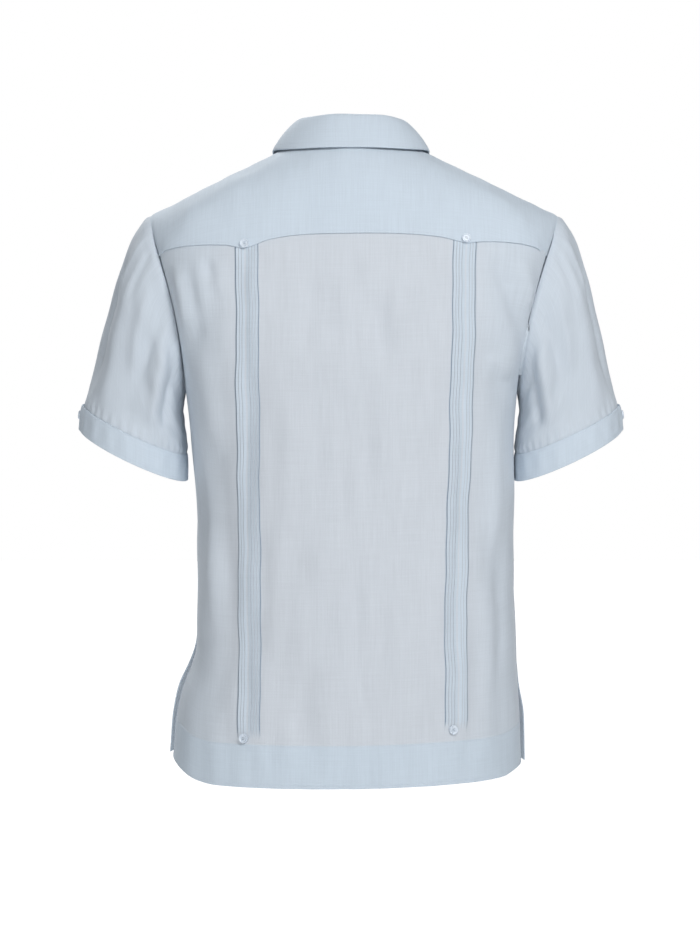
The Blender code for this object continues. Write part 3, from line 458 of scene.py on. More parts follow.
@dataclass
class Sheet:
    """A piece of cloth as a grid on its form, which becomes a closed thin wall.

    `rise` moves both faces of the cloth, `fold` only the outer one, and `layers` is 0 where
    the cloth is single and 1 where it is doubled. `shade` is painted shade, 1 in the crevice beside
    a tuck: it takes the written layers attribute below 0, where the finish turns to its dark
    shaded colour. `grain` gives the weave's own metres.
    """

    name: str
    form: Array
    core: Array
    thick: float = 0.0011
    wrap: bool = False
    rim_steps: int = 3
    grain: tuple[Array, Array] | None = None

    def __post_init__(self) -> None:
        """Work out the outward directions and start flat."""
        if self.wrap:
            along = np.roll(self.form, -1, 1) - np.roll(self.form, 1, 1)
        else:
            along = np.gradient(self.form, axis=1)
        normals = unit(np.cross(along, np.gradient(self.form, axis=0)))
        facing = np.sum(normals * (self.form - self.core))
        self.normals = normals * (1.0 if facing > 0 else -1.0)
        self.rise = np.zeros(self.form.shape[:2])
        self.fold = np.zeros(self.form.shape[:2])
        self.layers = np.zeros(self.form.shape[:2])
        self.shade = np.zeros(self.form.shape[:2])

    def outer(self) -> Array:
        """Points of the outer face."""
        return self.form + self.normals * (self.rise + self.fold)[..., None]

    def lengths(self) -> tuple[Array, Array]:
        """Distances over the cloth.

        Returns:
            Metres across from the middle column, and metres up from the first row.
        """
        p = self.form
        if self.wrap:
            p = np.concatenate([p, p[:, :1]], axis=1)
        across, up = np.zeros(p.shape[:2]), np.zeros(p.shape[:2])
        across[:, 1:] = np.cumsum(np.linalg.norm(np.diff(p, axis=1), axis=-1), axis=1)
        up[1:] = np.cumsum(np.linalg.norm(np.diff(p, axis=0), axis=-1), axis=0)
        return across - across[:, [across.shape[1] // 2]], up

    def from_edge(self, edge: Edge, distance: float) -> tuple[Array, Array]:
        """A line at a distance from one edge.

        Args:
            edge: which edge.
            distance: metres in from it, over the cloth.

        Returns:
            Points on the outer face, and the outward directions there.
        """
        points, normals = self.outer(), self.normals
        if edge in (Edge.FIRST, Edge.LAST):
            points, normals = points.transpose(1, 0, 2), normals.transpose(1, 0, 2)
        if edge in (Edge.TOP, Edge.LAST):
            points, normals = points[::-1], normals[::-1]
        reach = np.zeros(points.shape[:2])
        reach[1:] = np.cumsum(np.linalg.norm(np.diff(points, axis=0), axis=-1), axis=0)
        found = [[[np.interp(distance, reach[:, j], grid[:, j, k]) for k in range(3)]
                  for j in range(points.shape[1])] for grid in (points, normals)]
        return np.array(found[0]), unit(np.array(found[1]))

    def _rim(self, outer: Array, inner: Array, way: Array) -> Array:
        """Rounded edge between the two faces.

        Args:
            outer, inner: the edge's points on each face.
            way: unit directions off the cloth.

        Returns:
            Points of shape (n, rim_steps, 3), from the outer to the inner face.
        """
        middle, half = (outer + inner) / 2.0, (outer - inner) / 2.0
        size = np.linalg.norm(half, axis=-1, keepdims=True)
        turns = [math.pi * (k + 1) / (self.rim_steps + 1) for k in range(self.rim_steps)]
        return np.stack([middle + half * math.cos(a) + way * size * math.sin(a) for a in turns], axis=1)

    def _off(self, end: Array, inward: Array, normal: Array) -> Array:
        """Unit directions that lead off the cloth at an edge."""
        way = end - inward
        return unit(way - np.sum(way * normal, axis=-1, keepdims=True) * normal)

    def build(self) -> bpy.types.Object:
        """Make the closed mesh, its UV map in metres and its layers attribute, which also holds the painted
        shade beside the tucks.
        """
        steps = self.rim_steps
        outer = self.outer()
        inner = self.form + self.normals * (self.rise - self.thick)[..., None]
        # The written layers also carry painted shade: they go below 0 in the crevices beside the tucks.
        normals, layers = self.normals, np.clip(self.layers - 2.0 * self.shade, -2.0, 1.0)
        across, up = self.grain or self.lengths()
        if self.wrap:
            outer, inner, normals = (a.transpose(1, 0, 2) for a in (outer, inner, normals))
            across, up = across.T, up.T
            layers = np.concatenate([layers, layers[:, :1]], axis=1).T
        last_way = self._off(outer[:, -1], outer[:, -2], normals[:, -1])
        first_way = self._off(outer[:, 0], outer[:, 1], normals[:, 0])
        high = self._rim(outer[:, -1], inner[:, -1], last_way)
        low = self._rim(outer[:, 0], inner[:, 0], first_way)[:, ::-1]
        rows = np.concatenate([outer, high, inner[:, ::-1], low], axis=1)

        def around(values: Array) -> Array:
            """A value for each place round the closed section."""
            ends = [np.repeat(values[:, part], steps, axis=1) for part in (slice(-1, None), slice(0, 1))]
            return np.concatenate([values, ends[0], values[:, ::-1], ends[1], values[:, :1]], axis=1)

        u, v, layers_and_painted_shade = around(across), around(up), around(layers)
        size, columns = rows.shape[1], outer.shape[1]
        caps: list[list[int]] = []
        if not self.wrap:
            ends = [self._end_rings(rows, outer, inner, normals, 0, 1),
                    self._end_rings(rows, outer, inner, normals, -1, -2)]
            rows = np.concatenate([ends[0][::-1], rows, ends[1]], axis=0)
            u, v, layers_and_painted_shade = (np.concatenate([np.repeat(a[:1], steps, 0), a, np.repeat(a[-1:], steps, 0)])
                           for a in (u, v, layers_and_painted_shade))
            caps = self._caps(0, size, columns, True)
            caps += self._caps((rows.shape[0] - 1) * size, size, columns, False)
        return self._mesh(rows, np.stack([u, v], -1), layers_and_painted_shade, caps)

    def _end_rings(self, rows: Array, outer: Array, inner: Array, normals: Array,
                   edge: int, inward: int) -> Array:
        """Rings that round off the first or last row of an open sheet.

        Args:
            rows: closed sections, one per row.
            outer, inner, normals: the two faces and their directions.
            edge, inward: index of the end row and of the row next to it.

        Returns:
            The rings, from the cloth outwards.
        """
        columns, steps = outer.shape[1], self.rim_steps
        place = np.concatenate([np.arange(columns), np.full(steps, columns - 1),
                                np.arange(columns)[::-1], np.zeros(steps, int)])
        way = self._off(outer[edge], outer[inward], normals[edge])[place]
        middle = ((outer[edge] + inner[edge]) / 2.0)[place]
        half = (np.linalg.norm(outer[edge] - inner[edge], axis=-1) / 2.0)[place][:, None]
        turns = [0.5 * math.pi * (k + 1) / (steps + 0.35) for k in range(steps)]
        return np.stack([middle + (rows[edge] - middle) * math.cos(a) + way * half * math.sin(a)
                         for a in turns])

    def _caps(self, base: int, size: int, columns: int, turn_over: bool) -> list[list[int]]:
        """Faces that close an end ring whose first vertex is `base`."""
        steps = self.rim_steps
        faces = [[base + j, base + j + 1, base + size - steps - 2 - j, base + size - steps - 1 - j]
                 for j in range(columns - 1)]
        faces.append([base + columns - 1 + k for k in range(steps + 2)])
        faces.append([base] + [base + size - steps - 1 + k for k in range(steps + 1)])
        return [face[::-1] for face in faces] if turn_over else faces

    def _mesh(self, rows: Array, uv: Array, layers_and_painted_shade: Array, caps: list[list[int]]) -> bpy.types.Object:
        """Make the object from closed sections.

        Args:
            rows: points, one section per row.
            uv: metres across and up, with one more place round each section.
            layers_and_painted_shade: the layers, and painted shade below 0 beside the tucks, in the shape of
                uv.
            caps: faces that close the ends.

        Returns:
            The new object, at the origin, with its faces outwards.
        """
        count, size = rows.shape[:2]
        place = np.arange(count * size).reshape(count, size)
        place = np.concatenate([place, place[:, :1]], axis=1)
        if self.wrap:
            place = np.concatenate([place, place[:1]], axis=0)
        quads = np.stack([place[:-1, :-1], place[:-1, 1:], place[1:, 1:], place[1:, :-1]], -1)
        uvs = np.stack([uv[:-1, :-1], uv[:-1, 1:], uv[1:, 1:], uv[1:, :-1]], 2).reshape(-1, 4, 2)
        quads = quads.reshape(-1, 4)
        points = rows.reshape(-1, 3)
        a, b, c, d = (points[quads[:, k]] for k in range(4))
        if np.sum(np.cross(c - a, d - b) * (a + b + c + d)) < 0:
            quads, uvs = quads[:, ::-1], uvs[:, ::-1]
            caps = [cap[::-1] for cap in caps]
        mesh = bpy.data.meshes.new(self.name)
        mesh.from_pydata(points.tolist(), [], quads.tolist() + caps)
        flat = uv[:count, :size].reshape(-1, 2)
        ends = [flat[i] for cap in caps for i in cap]
        uvs = np.concatenate([uvs.reshape(-1, 2), np.array(ends).reshape(-1, 2)])
        layer = mesh.uv_layers.new(name="cloth")
        layer.data.foreach_set("uv", uvs.astype(np.float32).ravel())
        # The layers attribute holds the cloth's layers, and painted shade below 0 beside the tucks.
        layers = mesh.attributes.new("layers", "FLOAT", "POINT")
        layers.data.foreach_set("value", layers_and_painted_shade[:count, :size].astype(np.float32).ravel())
        mesh.shade_smooth()
        piece = bpy.data.objects.new(self.name, mesh)
        bpy.context.scene.collection.objects.link(piece)
        return piece


def height_core(points: Array) -> Array:
    """The body's upright axis at each point's height."""
    core = np.zeros_like(points)
    core[..., 2] = points[..., 2]
    return core


# ---------------------------------------------------------------- finishes


@dataclass(frozen=True)
class LinenFinish:
    """Plain-woven slubby linen; a single layer is greyer than a doubled one."""

    name: str
    single: Point
    double: Point
    doubled: float
    # Painted shade: the dark colour that the crevices beside the tucks are painted with.
    shaded: Point = (0.13, 0.20, 0.29)
    thread: float = 0.00062
    weave: float = 0.55
    mottle: float = 0.05
    roughness: float = 0.86
    sheen: float = 0.20


@dataclass(frozen=True)
class ButtonFinish:
    """Pearly polished shell-like plastic."""

    name: str = "pearl_button"
    colour: Point = (0.62, 0.69, 0.77)
    roughness: float = 0.40


@dataclass(frozen=True)
class ThreadFinish:
    """Matt sewing thread with a fine twist."""

    name: str = "sewing_thread"
    dark: Point = (0.46, 0.54, 0.63)
    light: Point = (0.66, 0.73, 0.81)
    roughness: float = 0.7


class NodeBook:
    """Short ways to make shader nodes in one tree."""

    def __init__(self, tree: bpy.types.NodeTree) -> None:
        """Keep the tree that nodes are made in."""
        self.tree = tree

    def add(self, kind: str, **values: object) -> bpy.types.Node:
        """A new node with some of its settings given."""
        node = self.tree.nodes.new(kind)
        for key, value in values.items():
            setattr(node, key, value)
        return node

    def link(self, source: bpy.types.NodeSocket, target: bpy.types.NodeSocket) -> None:
        """Join two sockets."""
        self.tree.links.new(source, target)

    def maths(self, operation: str, first: object, second: object = None) -> bpy.types.NodeSocket:
        """A Math node's result from sockets or numbers."""
        node = self.add("ShaderNodeMath", operation=operation)
        for slot, value in enumerate((first, second)):
            if isinstance(value, bpy.types.NodeSocket):
                self.link(value, node.inputs[slot])
            elif value is not None:
                node.inputs[slot].default_value = value
        return node.outputs[0]

    def noise(self, vector: bpy.types.NodeSocket, stretch: Point,
              detail: float = 2.0) -> bpy.types.NodeSocket:
        """Noise over a vector that is stretched first."""
        scaled = self.add("ShaderNodeVectorMath", operation="MULTIPLY")
        self.link(vector, scaled.inputs[0])
        scaled.inputs[1].default_value = stretch
        node = self.add("ShaderNodeTexNoise", noise_dimensions="3D")
        node.inputs["Scale"].default_value = 1.0
        node.inputs["Detail"].default_value = detail
        self.link(scaled.outputs[0], node.inputs["Vector"])
        return node.outputs["Fac"]

    def blend(self, share: bpy.types.NodeSocket, first: bpy.types.NodeSocket,
              colour: Point) -> bpy.types.NodeSocket:
        """A colour socket mixed with a plain colour by a share."""
        node = self.add("ShaderNodeMix", data_type="RGBA")
        self.link(share, node.inputs[0])
        self.link(first, node.inputs[6])
        node.inputs[7].default_value = (*colour, 1.0)
        return node.outputs[2]

    def ramp(self, value: bpy.types.NodeSocket, low: tuple[float, Point],
             high: tuple[float, Point]) -> bpy.types.NodeSocket:
        """A colour between two places of a value."""
        node = self.add("ShaderNodeValToRGB")
        self.link(value, node.inputs[0])
        for element, (position, colour) in zip(node.color_ramp.elements, (low, high)):
            element.position, element.color = position, (*colour, 1.0)
        return node.outputs[0]


class LinenWeave:
    """The shared weave group: threads that cross, with thicker slubs along both ways."""

    def __init__(self) -> None:
        """Build the group once."""
        tree = bpy.data.node_groups.new("Linen weave", "ShaderNodeTree")
        face = tree.interface
        face.new_socket(name="Vector", in_out="INPUT", socket_type="NodeSocketVector")
        face.new_socket(name="Threads per metre", in_out="INPUT", socket_type="NodeSocketFloat")
        for name in ("Height", "Slub", "Mottle"):
            face.new_socket(name=name, in_out="OUTPUT", socket_type="NodeSocketFloat")
        book = NodeBook(tree)
        inside, outside = book.add("NodeGroupInput"), book.add("NodeGroupOutput")
        vector = inside.outputs["Vector"]
        split = book.add("ShaderNodeSeparateXYZ")
        book.link(vector, split.inputs[0])
        turns = book.maths("MULTIPLY", inside.outputs["Threads per metre"], math.pi)
        warp = book.maths("SINE", book.maths("MULTIPLY", split.outputs[0], turns))
        weft = book.maths("SINE", book.maths("MULTIPLY", split.outputs[1], turns))
        cross = book.maths("MULTIPLY", warp, weft)
        down = book.noise(vector, (620.0, 22.0, 1.0))
        over = book.noise(vector, (22.0, 620.0, 1.0))
        slub = book.maths("ADD", book.maths("MULTIPLY", down, 0.60), book.maths("MULTIPLY", over, 0.40))
        broad = book.noise(vector, (95.0, 7.0, 1.0), 3.0)
        patch = book.noise(vector, (18.0, 12.0, 1.0), 3.0)
        mottle = book.maths("ADD", book.maths("MULTIPLY", broad, 0.55), book.maths("MULTIPLY", patch, 0.45))
        height = book.maths("ADD", book.maths("MULTIPLY", cross, 0.22), slub)
        book.link(height, outside.inputs["Height"])
        book.link(slub, outside.inputs["Slub"])
        book.link(mottle, outside.inputs["Mottle"])
        self.tree = tree

    def place(self, book: NodeBook, vector: bpy.types.NodeSocket, threads: float) -> bpy.types.Node:
        """Put the group in a material.

        Args:
            book: the material's nodes.
            vector: the cloth's own coordinates, in metres.
            threads: threads in a metre.

        Returns:
            The group node.
        """
        node = book.add("ShaderNodeGroup", node_tree=self.tree)
        book.link(vector, node.inputs["Vector"])
        node.inputs["Threads per metre"].default_value = threads
        return node


class Finishes:
    """All the shirt's materials, each made once."""

    def __init__(self) -> None:
        """Make the shared weave group."""
        self.weave = LinenWeave()
        self.made: dict[str, bpy.types.Material] = {}

    def _new(self, name: str) -> tuple[bpy.types.Material, NodeBook, bpy.types.Node]:
        """A new material with its nodes and its shader."""
        material = bpy.data.materials.new(name)
        material.use_nodes = True
        self.made[name] = material
        return material, NodeBook(material.node_tree), material.node_tree.nodes["Principled BSDF"]

    def linen(self, look: LinenFinish) -> bpy.types.Material:
        """The material of one linen finish."""
        if look.name in self.made:
            return self.made[look.name]
        material, book, shader = self._new(look.name)
        place = book.add("ShaderNodeUVMap", uv_map="cloth")
        weave = self.weave.place(book, place.outputs[0], 1.0 / look.thread)
        layers_and_painted_shade = book.add("ShaderNodeAttribute", attribute_name="layers")
        amount = book.maths("ADD", layers_and_painted_shade.outputs["Fac"], look.doubled)
        amount.node.use_clamp = True
        plain = book.ramp(amount, (0.0, look.single), (1.0, look.double))
        # Painted shade: where the layers attribute is below 0, beside each tuck, the colour is mixed toward
        # the dark shaded colour.
        crevice = book.maths("MULTIPLY", layers_and_painted_shade.outputs["Fac"], -0.5)
        crevice.node.use_clamp = True
        base = book.blend(crevice, plain, look.shaded)
        shade = book.maths("ADD", book.maths("MULTIPLY", weave.outputs["Slub"], 0.22), 0.89)
        patch = book.maths("ADD", book.maths("MULTIPLY", weave.outputs["Mottle"], look.mottle * 2.0),
                           1.0 - look.mottle)
        tone = book.add("ShaderNodeVectorMath", operation="SCALE")
        book.link(base, tone.inputs[0])
        book.link(book.maths("MULTIPLY", shade, patch), tone.inputs["Scale"])
        book.link(tone.outputs[0], shader.inputs["Base Color"])
        rough = book.maths("SUBTRACT", look.roughness + 0.05,
                           book.maths("MULTIPLY", weave.outputs["Slub"], 0.10))
        book.link(rough, shader.inputs["Roughness"])
        shader.inputs["Sheen Weight"].default_value = look.sheen
        shader.inputs["Sheen Roughness"].default_value = 0.55
        shader.inputs["Sheen Tint"].default_value = (0.90, 0.95, 1.0, 1.0)
        shader.inputs["Specular IOR Level"].default_value = 0.25
        relief = book.add("ShaderNodeBump")
        relief.inputs["Strength"].default_value = look.weave
        relief.inputs["Distance"].default_value = 0.00035
        book.link(weave.outputs["Height"], relief.inputs["Height"])
        book.link(relief.outputs[0], shader.inputs["Normal"])
        return material

    def button(self, look: ButtonFinish) -> bpy.types.Material:
        """The buttons' pearly material."""
        if look.name in self.made:
            return self.made[look.name]
        material, book, shader = self._new(look.name)
        place = book.add("ShaderNodeTexCoord")
        cloud = book.noise(place.outputs["Object"], (420.0, 420.0, 260.0), 3.0)
        r, g, b = look.colour
        colour = book.ramp(cloud, (0.35, (r * 0.90, g * 0.92, b * 0.95)),
                           (0.68, (r * 1.1, g * 1.08, b * 1.06)))
        book.link(colour, shader.inputs["Base Color"])
        rough = book.maths("ADD", book.maths("MULTIPLY", cloud, 0.18), look.roughness - 0.09)
        book.link(rough, shader.inputs["Roughness"])
        shader.inputs["Coat Weight"].default_value = 0.25
        shader.inputs["Coat Roughness"].default_value = 0.20
        return material

    def thread(self, look: ThreadFinish) -> bpy.types.Material:
        """The sewing thread's material."""
        if look.name in self.made:
            return self.made[look.name]
        material, book, shader = self._new(look.name)
        place = book.add("ShaderNodeTexCoord")
        twist = book.noise(place.outputs["Object"], (2600.0, 2600.0, 2600.0), 1.0)
        book.link(book.ramp(twist, (0.3, look.dark), (0.7, look.light)), shader.inputs["Base Color"])
        shader.inputs["Roughness"].default_value = look.roughness
        shader.inputs["Sheen Weight"].default_value = 0.2
        return material


SINGLE_LINEN = LinenFinish("linen_single", (0.585, 0.624, 0.675), (0.552, 0.636, 0.718), 0.0)
DOUBLE_LINEN = LinenFinish("linen_double", (0.585, 0.624, 0.675), (0.570, 0.648, 0.728), 0.9,
                           mottle=0.035)


# ---------------------------------------------------------------- stitches and buttons


def deselect() -> None:
    """Leave nothing selected and nothing active."""
    bpy.ops.object.select_all(action="DESELECT")
    bpy.context.view_layer.objects.active = None


def edit_faces(piece: bpy.types.Object, way: Vector) -> None:
    """Go into edit mode with only the faces selected that look along `way`."""
    bpy.ops.object.mode_set(mode="EDIT")
    bpy.ops.mesh.select_mode(type="FACE")
    bpy.ops.mesh.select_all(action="DESELECT")
    bpy.ops.object.mode_set(mode="OBJECT")
    for poly in piece.data.polygons:
        poly.select = poly.normal.dot(way) > 0.9
    bpy.ops.object.mode_set(mode="EDIT")


@dataclass
class Sewing:
    """Rows of machine stitches: one stitch is modelled and laid along each row that is given."""

    finishes: Finishes
    pitch: float = 0.0027
    length: float = 0.0018
    radius: float = 0.00020
    rows: dict[str, list[Array]] = field(default_factory=dict)

    def __post_init__(self) -> None:
        """Model the one stitch and keep its shape."""
        deselect()
        bpy.ops.mesh.primitive_cylinder_add(vertices=5, radius=self.radius, depth=self.length * 0.6,
                                            end_fill_type="NGON", rotation=(0.0, math.pi / 2, 0.0))
        stitch = bpy.context.object
        bpy.ops.object.transform_apply(location=False, rotation=True, scale=True)
        for way in (1.0, -1.0):
            edit_faces(stitch, Vector((way, 0.0, 0.0)))
            reach = (way * self.length * 0.2, 0.0, -self.radius * 1.2)
            bpy.ops.mesh.extrude_region_move(TRANSFORM_OT_translate={"value": reach})
            bpy.ops.transform.resize(value=(1.0, 0.55, 0.55))
            bpy.ops.object.mode_set(mode="OBJECT")
        self.shape = np.array([v.co[:] for v in stitch.data.vertices])
        self.faces = [list(p.vertices) for p in stitch.data.polygons]
        bpy.data.objects.remove(stitch, do_unlink=True)

    def row(self, seam: str, points: Array, normals: Array) -> None:
        """Lay one row of stitches.

        Args:
            seam: the piece that the row becomes part of.
            points, normals: the line and its outward directions.
        """
        way = np.concatenate([[0.0], np.cumsum(np.linalg.norm(np.diff(points, axis=0), axis=-1))])
        count = max(1, int(way[-1] / self.pitch))
        spots = (np.arange(count) + 0.5) * way[-1] / count

        def along(values: Array, at: Array) -> Array:
            """The line's values at distances along it."""
            return np.stack([np.interp(at, way, values[:, k]) for k in range(3)], -1)

        half = min(self.length / 2.0, way[-1] / 4.0)
        forward = unit(along(points, spots + half) - along(points, spots - half))
        upward = along(normals, spots)
        upward = unit(upward - np.sum(upward * forward, -1, keepdims=True) * forward)
        across = np.cross(upward, forward)
        base = along(points, spots) + upward * self.radius * 0.5
        placed = (base[:, None] + self.shape[None, :, 0, None] * forward[:, None]
                  + self.shape[None, :, 1, None] * across[:, None]
                  + self.shape[None, :, 2, None] * upward[:, None])
        self.rows.setdefault(seam, []).append(placed.reshape(-1, 3))

    def build(self) -> None:
        """Make one mesh per seam from its rows."""
        for seam, rows in self.rows.items():
            points = np.concatenate(rows)
            count = len(points) // len(self.shape)
            faces = [[i * len(self.shape) + k for k in face] for i in range(count) for face in self.faces]
            mesh = bpy.data.meshes.new(seam)
            mesh.from_pydata(points.tolist(), [], faces)
            mesh.shade_smooth()
            mesh.materials.append(self.finishes.thread(ThreadFinish()))
            piece = bpy.data.objects.new(seam, mesh)
            bpy.context.scene.collection.objects.link(piece)
            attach(piece, "root")
            log.info("%s: %d stitches", seam, count)


@dataclass
class Buttons:
    """Four-hole buttons with their thread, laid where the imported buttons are."""

    finishes: Finishes
    radius: float = 0.0055
    thick: float = 0.0024
    rim: float = 0.0015
    dish: float = 0.0007
    hole: float = 0.00062
    hole_spread: float = 0.00125

    def _disc(self) -> bpy.types.Object:
        """Model one button, face up, standing on the origin."""
        deselect()
        bpy.ops.mesh.primitive_cylinder_add(vertices=40, radius=self.radius, depth=self.thick,
                                            location=(0.0, 0.0, self.thick / 2))
        disc = bpy.context.object
        bpy.ops.object.transform_apply(location=True, rotation=True, scale=True)
        edit_faces(disc, Vector((0.0, 0.0, 1.0)))
        bpy.ops.mesh.inset(thickness=self.rim * 0.7)
        bpy.ops.mesh.inset(thickness=self.rim * 0.6)
        bpy.ops.transform.translate(value=(0.0, 0.0, -self.dish))
        bpy.ops.object.mode_set(mode="OBJECT")
        rounding = disc.modifiers.new("rounding", "BEVEL")
        rounding.width, rounding.segments, rounding.limit_method = 0.00045, 3, "ANGLE"
        rounding.angle_limit = math.radians(35)
        bpy.ops.object.modifier_apply(modifier=rounding.name)
        for quarter in range(4):
            angle = math.pi * (quarter / 2 + 0.25)
            spot = (self.hole_spread * math.cos(angle), self.hole_spread * math.sin(angle), self.thick / 2)
            bpy.ops.object.select_all(action="DESELECT")
            bpy.ops.mesh.primitive_cylinder_add(vertices=12, radius=self.hole, depth=self.thick * 2,
                                                location=spot)
            drill = bpy.context.object
            cut = disc.modifiers.new("hole", "BOOLEAN")
            cut.operation, cut.solver, cut.object = "DIFFERENCE", "EXACT", drill
            bpy.context.view_layer.objects.active = disc
            bpy.ops.object.modifier_apply(modifier=cut.name)
            bpy.data.objects.remove(drill, do_unlink=True)
        bpy.ops.object.select_all(action="DESELECT")
        disc.select_set(True)
        bpy.ops.object.shade_smooth_by_angle(angle=math.radians(38))
        return disc

    def _place(self, node: str) -> tuple[Vector, Vector]:
        """Foot and outward direction of a packed button.

        Args:
            node: its name.

        Returns:
            The middle of its back, and the unit direction of its face.
        """
        points = np.array([v.co[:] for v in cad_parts[node].data.vertices])
        middle = (points.min(axis=0) + points.max(axis=0)) / 2.0
        _, _, axes = np.linalg.svd(points - points.mean(axis=0))
        way = Vector(axes[2])
        if way.dot(Vector((middle[0], middle[1], 0.0))) < 0:
            way = -way
        low = min((Vector(p) - Vector(middle)).dot(way) for p in points)
        return Vector(middle) + way * low, way

    def build(self, sewing: Sewing) -> None:
        """Copy the button to every packed button's place and sew it on."""
        disc = self._disc()
        for node in sorted(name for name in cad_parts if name.startswith("button_")):
            foot, way = self._place(node)
            turn = way.to_track_quat("Z", "Y").to_matrix()
            mesh = disc.data.copy()
            mesh.name = "sewn_" + node
            mesh.transform(Matrix.Translation(foot) @ turn.to_4x4())
            mesh.materials.clear()
            mesh.materials.append(self.finishes.button(ButtonFinish()))
            piece = bpy.data.objects.new("sewn_" + node, mesh)
            bpy.context.scene.collection.objects.link(piece)
            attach(piece, "root")
            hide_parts(node)
            across, up = turn @ Vector((1.0, 0.0, 0.0)), turn @ Vector((0.0, 1.0, 0.0))
            level = foot + way * (self.thick - self.dish + 0.00010)
            spread = self.hole_spread * 0.71
            for offset in (-spread - 0.00014, -spread + 0.00014, spread - 0.00014, spread + 0.00014):
                ends = [level + across * offset + up * reach for reach in (-spread * 1.2, spread * 1.2)]
                sewing.row("button_threads", np.array([end[:] for end in ends]), np.array([way[:]] * 2))
            log.info("%s stands for %s", piece.name, node)
        bpy.data.objects.remove(disc, do_unlink=True)


# ---------------------------------------------------------------- pieces of the shirt


@dataclass
class Piece:
    """What every cut piece of the shirt shares: its finish, its sewing and its place."""

    finishes: Finishes
    sewing: Sewing

    def settle(self, sheet: Sheet, look: LinenFinish, nodes: Sequence[str], flat: tuple[float, float],
               area: float) -> Sheet:
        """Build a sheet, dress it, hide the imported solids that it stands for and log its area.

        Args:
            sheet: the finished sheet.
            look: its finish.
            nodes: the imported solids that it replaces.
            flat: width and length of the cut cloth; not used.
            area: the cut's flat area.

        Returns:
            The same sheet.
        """
        piece = sheet.build()
        piece.data.materials.append(self.finishes.linen(look))
        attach(piece, "root")
        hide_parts(*nodes)
        measured = sum(p.area for p in piece.data.polygons) / 2.0
        log.info("%s: %d faces, %.4f m2 of %.4f m2 cut", piece.name, len(piece.data.polygons), measured, area)
        return sheet


@dataclass
class Panel(Piece):
    """What the back and the fronts share."""

    tucks: Tucks = field(default_factory=Tucks)
    vent_hem: float = 0.016
    hem_facing: float = 0.050
    calm_below: float = 0.02
    calm_reach: float = 0.022
    hem_rows: Array = field(default_factory=lambda: np.array(
        [0.0, 0.003, 0.008, 0.016, 0.028, 0.045, 0.062, 0.079, 0.093, 0.1035, 0.1062, 0.1083,
         0.1104, 0.1125, 0.1146, 0.1167, 0.120]))

    def outer_part(self, face: Face, side: Side, row: Array, inner_x: Array, shares: Array) -> Array:
        """Points from the side edge towards a tuck column.

        Args:
            face: back or front.
            side: the wearer's left or right.
            row: rows of the panel, as a column.
            inner_x: x where this part ends.
            shares: how far in each point lies, from 0 at the edge to below 1.

        Returns:
            Points of shape (rows, shares, 3).
        """
        vent = VENTS[side]
        hole = BODY.armhole(side, BODY.step_of(face, row))
        z = np.where(row < 1.0, BODY.height(face, side, int(side) * 0.2, row), hole[..., 2])
        edge_x = BODY.point(vent.edge(face, z), z)[..., 0]
        z = np.where(row < 1.0, BODY.height(face, side, edge_x, row), z)
        angle = np.where(row < 1.0, vent.edge(face, z), BODY.angle_at_y(hole[..., 1], z, side))
        inner_z = BODY.height(face, side, inner_x, row)
        inner_angle = BODY.angle_at_x(inner_x, inner_z, face)
        if side == Side.RIGHT and face == Face.FRONT:
            angle = np.where(angle > 0, angle - 360.0, angle)
        turn = mix(angle, inner_angle, shares)
        height = BODY.height(face, side, BODY.point(turn, z)[..., 0], row)
        height = BODY.height(face, side, BODY.point(turn, height)[..., 0], row)
        height = np.where((shares == 0.0) & (row >= 1.0), z, height)
        return vent.push(BODY.point(turn, height), face)

    def left_at_armhole(self, edge: Array, z: Array) -> Array:
        """Share of the creases that is left near the armhole seam, which they mustn't cross."""
        return np.where(z > BODY.arm_pit - self.calm_below, ease(edge / self.calm_reach), 1.0)

    def edges_rise(self, sheet: Sheet, face: Face, edge: Array, side: Array) -> Array:
        """Hem facing, vent hems, and the pull of the side and armhole seams.

        Args:
            sheet: the panel, whose fold and layers are set too.
            face: back or front.
            edge: distance over the cloth to the nearer side edge.
            side: 1 or -1 for the wearer's left or right at each point.

        Returns:
            How far the cloth stands out there.
        """
        x, z = sheet.form[..., 0], sheet.form[..., 2]
        facing = ease((BODY.hem(x, face) + self.hem_facing - z) / 0.0022)
        top = np.where(side > 0, VENTS[Side.LEFT].top, VENTS[Side.RIGHT].top)
        opened = ease((top + 0.008 - z) / 0.012)
        vent_hem = ease((self.vent_hem - edge) / 0.0015) * opened
        sheet.fold = sheet.fold + 0.0005 * facing + 0.0004 * vent_hem * (1.0 - facing)
        sheet.layers = np.maximum(sheet.layers, np.maximum(0.9 * facing, 0.8 * vent_hem))
        deep = np.where(z > BODY.arm_pit, 0.0020, 0.0012) * (1.0 - opened)
        return groove(edge, deep, 0.0035)

    def sew_hem(self, sheet: Sheet, seam: str, edges: Sequence[Edge]) -> None:
        """Rows of stitches that hold the hem facing, and the vents' hems on the edges given."""
        self.sewing.row(seam, *sheet.from_edge(Edge.BOTTOM, self.hem_facing - 0.002))
        self.sewing.row(seam, *sheet.from_edge(Edge.BOTTOM, 0.003))
        for edge in edges:
            line, normals = sheet.from_edge(edge, self.vent_hem - 0.002)
            side = Side.LEFT if line[0, 0] > 0 else Side.RIGHT
            keep = line[:, 2] < VENTS[side].top
            self.sewing.row(seam, line[keep], normals[keep])


